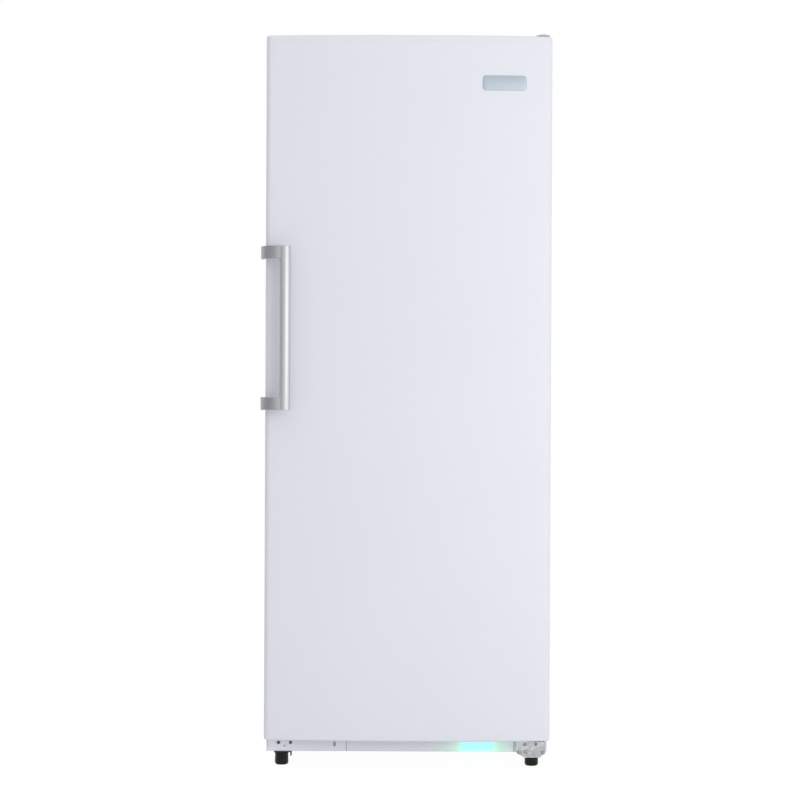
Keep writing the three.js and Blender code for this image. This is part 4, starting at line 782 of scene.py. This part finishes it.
def makeRailDetails():
    shape = bmesh.new()
    for x, z in rail["screws"]:
        screwHead(shape, (x, -rail["screwProud"], z), rail["screwRadius"])
    setDown(shape, "rail_screws", "cabinet", "zinc_steel", finish=railScrew)
    shape = bmesh.new()
    # The hole and the slot are flat grey spots on the rail, their grey the painted shade inside the
    # openings
    x, z = rail["hole"]
    disc(shape, (x, 0, z), rail["holeRadius"], 24)
    x, z = rail["slot"]
    halfX, halfZ = rail["slotHalf"]
    block(shape, (x - halfX, -rail["slotProud"], z - halfZ), (x + halfX, rail["sink"], z + halfZ),
          rail["slotRound"])
    setDown(shape, "rail_openings", "cabinet", "black_plastic", finish=paintedOpeningShade)
    shape = bmesh.new()
    half = rail["seamHalf"]
    bottom, top = rail["seamSpan"]
    for x in rail["seams"]:
        block(shape, (x - half, -rail["seamProud"], bottom), (x + half, rail["sink"], top))
    setDown(shape, "rail_seams", "cabinet", "black_plastic", finish=darkGap)


makeRailDetails()

bracket = {"screws": ((296.8, 57.7), (325.0, 58.1)), "screwRadius": 3.8,
           "bolts": ((282.8, 37.5), (299.4, 38.9), (343.4, 37.0)), "boltRadius": 4.0, "boltHeight": 3.2,
           "hole": (310.7, 50.8), "holeRadius": 1.8, "face": -3.3, "faceNear": 0.25,
           "bendTop": 44, "bendBottom": 33, "forward": 7}


def pressForward(y, z):  # the sheet stands forward over its bend
    share = min(1, max(0, z - bracket["bendBottom"]) / (bracket["bendTop"] - bracket["bendBottom"]))
    return y - bracket["forward"] * share


def pressBracket(shape):
    shape.transform(toCabinet)
    for level in (bracket["bendTop"], bracket["bendBottom"]):
        cutAcross(shape, (0, 0, level), (0, 0, 1))
    for vert in shape.verts:
        if abs(vert.co.y - bracket["face"]) < bracket["faceNear"]:
            vert.co.y = pressForward(vert.co.y, vert.co.z)
    shape.transform(toFrame)


soften("lower_hinge_bracket", 0.5, finish=bracketZinc, press=pressBracket)


def onBracket(x, z):
    return x, pressForward(bracket["face"], z), z


def makeBracketDetails():
    shape = bmesh.new()
    for x, z in bracket["screws"]:
        screwHead(shape, onBracket(x, z), bracket["screwRadius"])
    setDown(shape, "bracket_screws", "cabinet", "zinc_steel", finish=darkerBoltMetal)
    shape = bmesh.new()
    for x, z in bracket["bolts"]:
        boltHead(shape, onBracket(x, z), bracket["boltRadius"], bracket["boltHeight"])
    # The hole is a flat disc of the darker metal: painted shade inside the hole
    disc(shape, onBracket(*bracket["hole"]), bracket["holeRadius"], 20)
    setDown(shape, "bracket_bolts", "cabinet", "zinc_steel", finish=darkerBoltMetal)


makeBracketDetails()

# Sole, side, collar and stud are radii; flutes run from fluteFrom up to fluteTo under the foot's top
leg = {"sole": 15, "side": 16.7, "collar": 17.8, "stud": 5, "collarHeight": 5, "plateHeight": 9,
       "clearance": 0.3, "flutes": 16, "fluteDepth": 0.7, "fluteFrom": 3, "fluteTo": 6,
       "turns": 11, "threadDepth": 0.5, "end": 2}


def makeLeg(node):  # a fluted foot with a collar, on a threaded stud
    low, high = space(node)
    x, y = (low.x + high.x) / 2, (low.y + high.y) / 2
    plate = space("left_leg_bracket")[0].z + leg["plateHeight"]
    top = plate - leg["clearance"]
    sole, side, collar, stud = leg["sole"], leg["side"], leg["collar"], leg["stud"]
    under = top - leg["collarHeight"]
    shape = bmesh.new()
    profile = [(0, 0.05), (sole - 1, 0.05), (sole, 0.8), (side, 3.2), (side + 0.5, 7),
               (collar - 1.2, under - 2), (collar - 0.9, under - 0.5), (collar, under), (collar, top - 0.8),
               (collar - 0.8, top), (stud, top)]
    turnAbout(shape, profile, (x, y, 0), leg["flutes"] * 4)
    for vert in shape.verts:
        away = vert.co - Vector((x, y, vert.co.z))
        if leg["fluteFrom"] < vert.co.z < top - leg["fluteTo"] and away.length > 1:
            wave = math.cos(leg["flutes"] * math.atan2(away.y, away.x))
            vert.co -= away.normalized() * leg["fluteDepth"] * (0.5 - 0.5 * wave)
    crest, root = stud - 0.1, stud - 0.1 - leg["threadDepth"]
    pitch = (high.z - top - leg["end"]) / leg["turns"]
    thread = [(stud, top)]
    for turn in range(leg["turns"]):
        base = top + turn * pitch
        thread += [(crest, base + 0.1 * pitch), (root, base + pitch / 2), (crest, base + 0.9 * pitch)]
    thread += [(stud - 1, high.z - 0.2), (0, high.z)]
    turnAbout(shape, thread, (x, y, 0), 32)
    setDown(shape, node + "_foot", frame["nodes"][node]["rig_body"], "black_plastic", [node], legResin, 38)


for node in ("leveling_leg_left", "leveling_leg_right"):
    makeLeg(node)

backScrews = {"radius": 4, "height": 1.3, "inset": 10, "rows": 6, "coverRows": 2}


def makeBackScrews():  # screws down both sides of each rear sheet, and one over and under its middle
    inset = backScrews["inset"]
    shape = bmesh.new()
    places = []
    for node, rows in (("rear_panel", backScrews["rows"]), ("machine_cover", backScrews["coverRows"])):
        low, high = space(node)
        for row in range(rows):
            z = low.z + inset + row * (high.z - low.z - 2 * inset) / (rows - 1)
            places += [(x, high.y, z) for x in (low.x + inset, high.x - inset)]
        places += [(0, high.y, z) for z in (low.z + inset, high.z - inset)]
    for place in places:
        screwHead(shape, place, backScrews["radius"], (0, 1, 0), backScrews["height"])
    setDown(shape, "rear_screws", "cabinet", "zinc_steel", finish=platedScrew)


makeBackScrews()
for node in ("rear_roller_left", "rear_roller_right"):
    soften(node, 0.4)
print("cabinet ready")

# Inside
for node, edge in (("inner_liner", 3.0), ("cabinet_foam", 0.5), ("evaporator_cover", 0.8),
                   ("control_housing", 1.2), ("lamp_cover", 1.0), ("evaporator_coil", 0.15),
                   ("defrost_heater", 0.3), ("fan_motor", 0.6), ("fan_blade", 0.3), ("condenser_tube", 0.2),
                   ("compressor", 1.6), ("drain_pan", 1.0)):
    soften(node, edge)
for level in range(1, 5):
    soften(f"shelf_glass_{level}", 0.7)
    soften(f"shelf_trim_{level}", 0.5)

coverDetail = {"screw": 4, "inset": (14, 34), "rows": 4,
               "bead": 5, "beadRound": 0.96, "beadInset": 46, "beadEnds": 60, "proud": 1, "sink": 0.3}


def makeCoverDetails():  # screws down both edges of the rear wall's cover, and a bead beside each row
    low, high = space("evaporator_cover")
    inX, inZ = coverDetail["inset"]
    shape = bmesh.new()
    for row in range(coverDetail["rows"]):
        z = low.z + inZ + row * (high.z - low.z - 2 * inZ) / (coverDetail["rows"] - 1)
        for x in (low.x + inX, high.x - inX):
            screwHead(shape, (x, low.y, z), coverDetail["screw"])
    setDown(shape, "cover_screws", "cabinet", "zinc_steel", finish=platedScrew)
    shape = bmesh.new()
    half, ends = coverDetail["bead"] / 2, coverDetail["beadEnds"]
    for x in (low.x + coverDetail["beadInset"], high.x - coverDetail["beadInset"]):
        block(shape, (x - half, low.y - coverDetail["proud"], low.z + ends),
              (x + half, low.y + coverDetail["sink"], high.z - ends), half * coverDetail["beadRound"])
    setDown(shape, "cover_beads", "cabinet", "white_plastic", sharp=50)


makeCoverDetails()

# Wires of each basket mat by its side: uprights, bars, and which way is outward
wires = {"frame": 2.9, "mesh": 1.6, "corner": 9, "cornerSteps": 6, "sides": 8, "weld": 0.6, "endGap": 1.2,
         "mats": {"front": (23, 3, -1), "rear": (23, 3, 1), "left": (15, 3, -1), "right": (15, 3, 1),
                  "floor": (0, 21, -1)}}


def makeWireMat(node, uprights, bars, outward):  # a frame of thick wire, with thinner wires across it
    low, high = space(node)
    size = high - low
    flatAxis = min(range(3), key=lambda i: size[i])
    across, up = [i for i in range(3) if i != flatAxis]
    wide, tall = size[across], size[up]
    unit = [Vector((1, 0, 0)), Vector((0, 1, 0)), Vector((0, 0, 1))]
    u, v, w = unit[across], unit[up], unit[flatAxis] * outward
    begin = Vector(low)
    begin[flatAxis] = (high if outward < 0 else low)[flatAxis]  # the mat's inside plane
    thick, thin, sides = wires["frame"], wires["mesh"], wires["sides"]
    ends = wires["corner"] + thick
    moves = []
    for turn in range(4):
        moves += [("run", (wide, tall)[turn % 2] - 2 * ends),
                  ("turn", math.pi / 2, wires["corner"], u.cross(v), wires["cornerSteps"])]
    shape = bmesh.new()
    bentWire(shape, begin + w * thick + u * ends + v * thick, u, thick, moves)
    outside = w * (2 * thick + thin - wires["weld"])
    inside = w * (2 * thick - thin)
    for i in range(uprights):
        start = begin + outside + u * ((i + 1) * wide / (uprights + 1)) + v * wires["endGap"]
        bentWire(shape, start, v, thin, [("run", tall - 2 * wires["endGap"])], sides)
    for i in range(bars):
        start = begin + inside + v * ((i + 1) * tall / (bars + 1)) + u * thick
        bentWire(shape, start, u, thin, [("run", wide - 2 * thick)], sides)
    setDown(shape, node + "_wires", "basket", "wire_coat", [node], sharp=50)


for side, settings in wires["mats"].items():
    makeWireMat("basket_mat_" + side, *settings)

knob = {"flutes": 24, "fluteDepth": 0.5, "flange": 2.1, "ticks": 7, "tickGap": 1.6, "tickRadius": 0.7,
        "tickReach": 14.6, "tickSink": 0.05, "sweep": 270, "mark": 0.8, "markDepth": 1.5, "markFrom": 2,
        "edge": 3.4}


def makeKnob():  # a fluted knob with a raised mark, and dots round it on the housing
    low, high = space("control_knob")
    x, z = (low.x + high.x) / 2, (low.z + high.z) / 2
    radius, depth = (high.x - low.x) / 2, high.y - low.y
    inner = radius - knob["edge"]
    shape = bmesh.new()
    profile = [(0, 0), (radius, 0), (radius, 1.6), (radius - 0.5, 2), (radius - 1.9, 2.2),
               (radius - 2.4, depth - 1.2), (radius - 3.2, depth - 0.2), (radius - 4, depth),
               (0, depth - 0.3)]
    turnAbout(shape, profile, (x, high.y, z), knob["flutes"] * 4, forward)
    for vert in shape.verts:
        away = Vector((vert.co.x - x, 0, vert.co.z - z))
        if vert.co.y < high.y - knob["flange"] and away.length > inner:
            wave = math.cos(knob["flutes"] * math.atan2(away.z, away.x))
            vert.co -= away.normalized() * knob["fluteDepth"] * (0.5 - 0.5 * wave)
    block(shape, (x - knob["mark"], low.y, z + knob["markFrom"]),
          (x + knob["mark"], low.y + knob["markDepth"], z + inner))
    setDown(shape, "control_dial", "knob", "white_plastic", ["control_knob"], sharp=38)
    shape = bmesh.new()
    face = space("control_housing")[0].y + knob["tickSink"]
    away = radius + knob["tickGap"]
    for tick in range(knob["ticks"]):
        angle = math.radians(90 - knob["sweep"] / 2 + tick * knob["sweep"] / (knob["ticks"] - 1)) + math.pi
        rise = math.sin(angle) * away
        if abs(rise) <= knob["tickReach"]:  # the housing's face ends there
            disc(shape, (x + math.cos(angle) * away, face, z + rise), knob["tickRadius"], 16)
    setDown(shape, "dial_dots", "cabinet", "black_plastic", finish=darkGap)


makeKnob()
print("inside ready")

# Studio
camera = {"lens": 90.44, "place": (-3.6, -5060.7, 926.5), "yaw": -0.189, "pitch": -0.047, "roll": -0.252,
          "farthest": 60}


def makeCamera():
    data = bpy.data.cameras.new("camera")
    data.lens = camera["lens"]
    data.clip_end = camera["farthest"]
    piece = bpy.data.objects.new("camera", data)
    scene.collection.objects.link(piece)
    yaw, pitch, roll = (math.radians(camera[key]) for key in ("yaw", "pitch", "roll"))
    tilt = Matrix.Rotation(-roll, 3, "Y") @ Matrix.Rotation(-pitch, 3, "X")
    right, ahead, up = tilt @ Matrix.Rotation(yaw, 3, "Z")
    turn = Matrix((right, up, -ahead)).transposed().to_4x4()
    piece.matrix_world = Matrix.Translation(toFrame @ Vector(camera["place"])) @ turn
    scene.camera = piece


studio = {"keyPlace": (1950, -4150, 1350), "keyAim": (0, 0, 950), "keySize": (1.3, 2.4), "keyPower": 48,
          "keyColour": (1.0, 1.0, 1.0), "sky": 0.845,
          "paperRoughness": 0.9, "floor": "f2f2f4", "floorHalf": 25000, "floorGlow": 0.9,
          "glowStrength": 1.05, "card": "cacace", "cardEnds": ((-1300, -4700), (-2500, 500)),
          "cardHeight": 2900}


def makeKeyLight():
    data = bpy.data.lights.new("key", "AREA")
    data.shape = "RECTANGLE"
    data.size, data.size_y = studio["keySize"]
    data.energy = studio["keyPower"]
    data.color = studio["keyColour"]
    lamp = bpy.data.objects.new("key", data)
    lamp.visible_camera = False
    scene.collection.objects.link(lamp)
    start = toFrame @ Vector(studio["keyPlace"])
    aim = toFrame @ Vector(studio["keyAim"])
    turn = (aim - start).to_track_quat("-Z", "Y").to_matrix().to_4x4()
    lamp.matrix_world = Matrix.Translation(start) @ turn


def seenMask(tree):  # rays that show a background: straight from the camera, off metal or through glass
    direct = tree.node("ShaderNodeLightPath", output="Is Camera Ray")
    outputs = direct.socket.node.outputs
    mirrored, through = (Signal(tree, outputs[name]) for name in ("Is Glossy Ray", "Is Transmission Ray"))
    return tree.node("ShaderNodeMath", {"operation": "MINIMUM"}, {0: direct + mirrored + through, 1: 1.0})


def makeWorld():
    world = bpy.data.worlds.new("studio")
    scene.world = world
    world.use_nodes = True
    tree = Tree(world.node_tree)
    background = world.node_tree.nodes["Background"]
    background.inputs["Color"].default_value = (1, 1, 1, 1)
    mask = seenMask(tree)
    tree.feed(background.inputs["Strength"], mask + (1 - mask) * studio["sky"])


def standInStudio(shape, name, paper):
    shape.transform(toFrame)
    mesh = bpy.data.meshes.new(name)
    shape.to_mesh(mesh)
    shape.free()
    mesh.materials.append(paper.material)
    piece = bpy.data.objects.new(name, mesh)
    scene.collection.objects.link(piece)
    return piece


def makeFloor():
    shape = bmesh.new()
    bmesh.ops.create_grid(shape, x_segments=1, y_segments=1, size=studio["floorHalf"])
    paper = Finish("floorPaper", Base_Color=studio["floor"], Roughness=studio["paperRoughness"])
    floor = standInStudio(shape, "floor", paper)
    tree = paper.tree
    glowing = paper.node("ShaderNodeEmission", inputs={
        "Color": "ffffff", "Strength": studio["glowStrength"]})
    mask = seenMask(paper) * studio["floorGlow"]
    blend = paper.node("ShaderNodeMixShader", inputs={0: mask, 2: glowing})
    tree.links.new(paper.shader.outputs[0], blend.socket.node.inputs[1])
    tree.links.new(blend.socket, tree.nodes["Material Output"].inputs["Surface"])


def makeCard():  # a grey card at the left, out of the camera's sight, that the handle's metal mirrors
    shape = bmesh.new()
    ends = [shape.verts.new((x, y, 0)) for x, y in studio["cardEnds"]]
    pullEdges(shape, [shape.edges.new(ends)], (0, 0, studio["cardHeight"]))
    paper = Finish("cardPaper", Base_Color=studio["card"], Roughness=studio["paperRoughness"])
    card = standInStudio(shape, "card", paper)
    card.visible_camera = False


makeCamera()
makeKeyLight()
makeWorld()
makeFloor()
makeCard()
scene.view_settings.view_transform = "Standard"
print("studio ready")
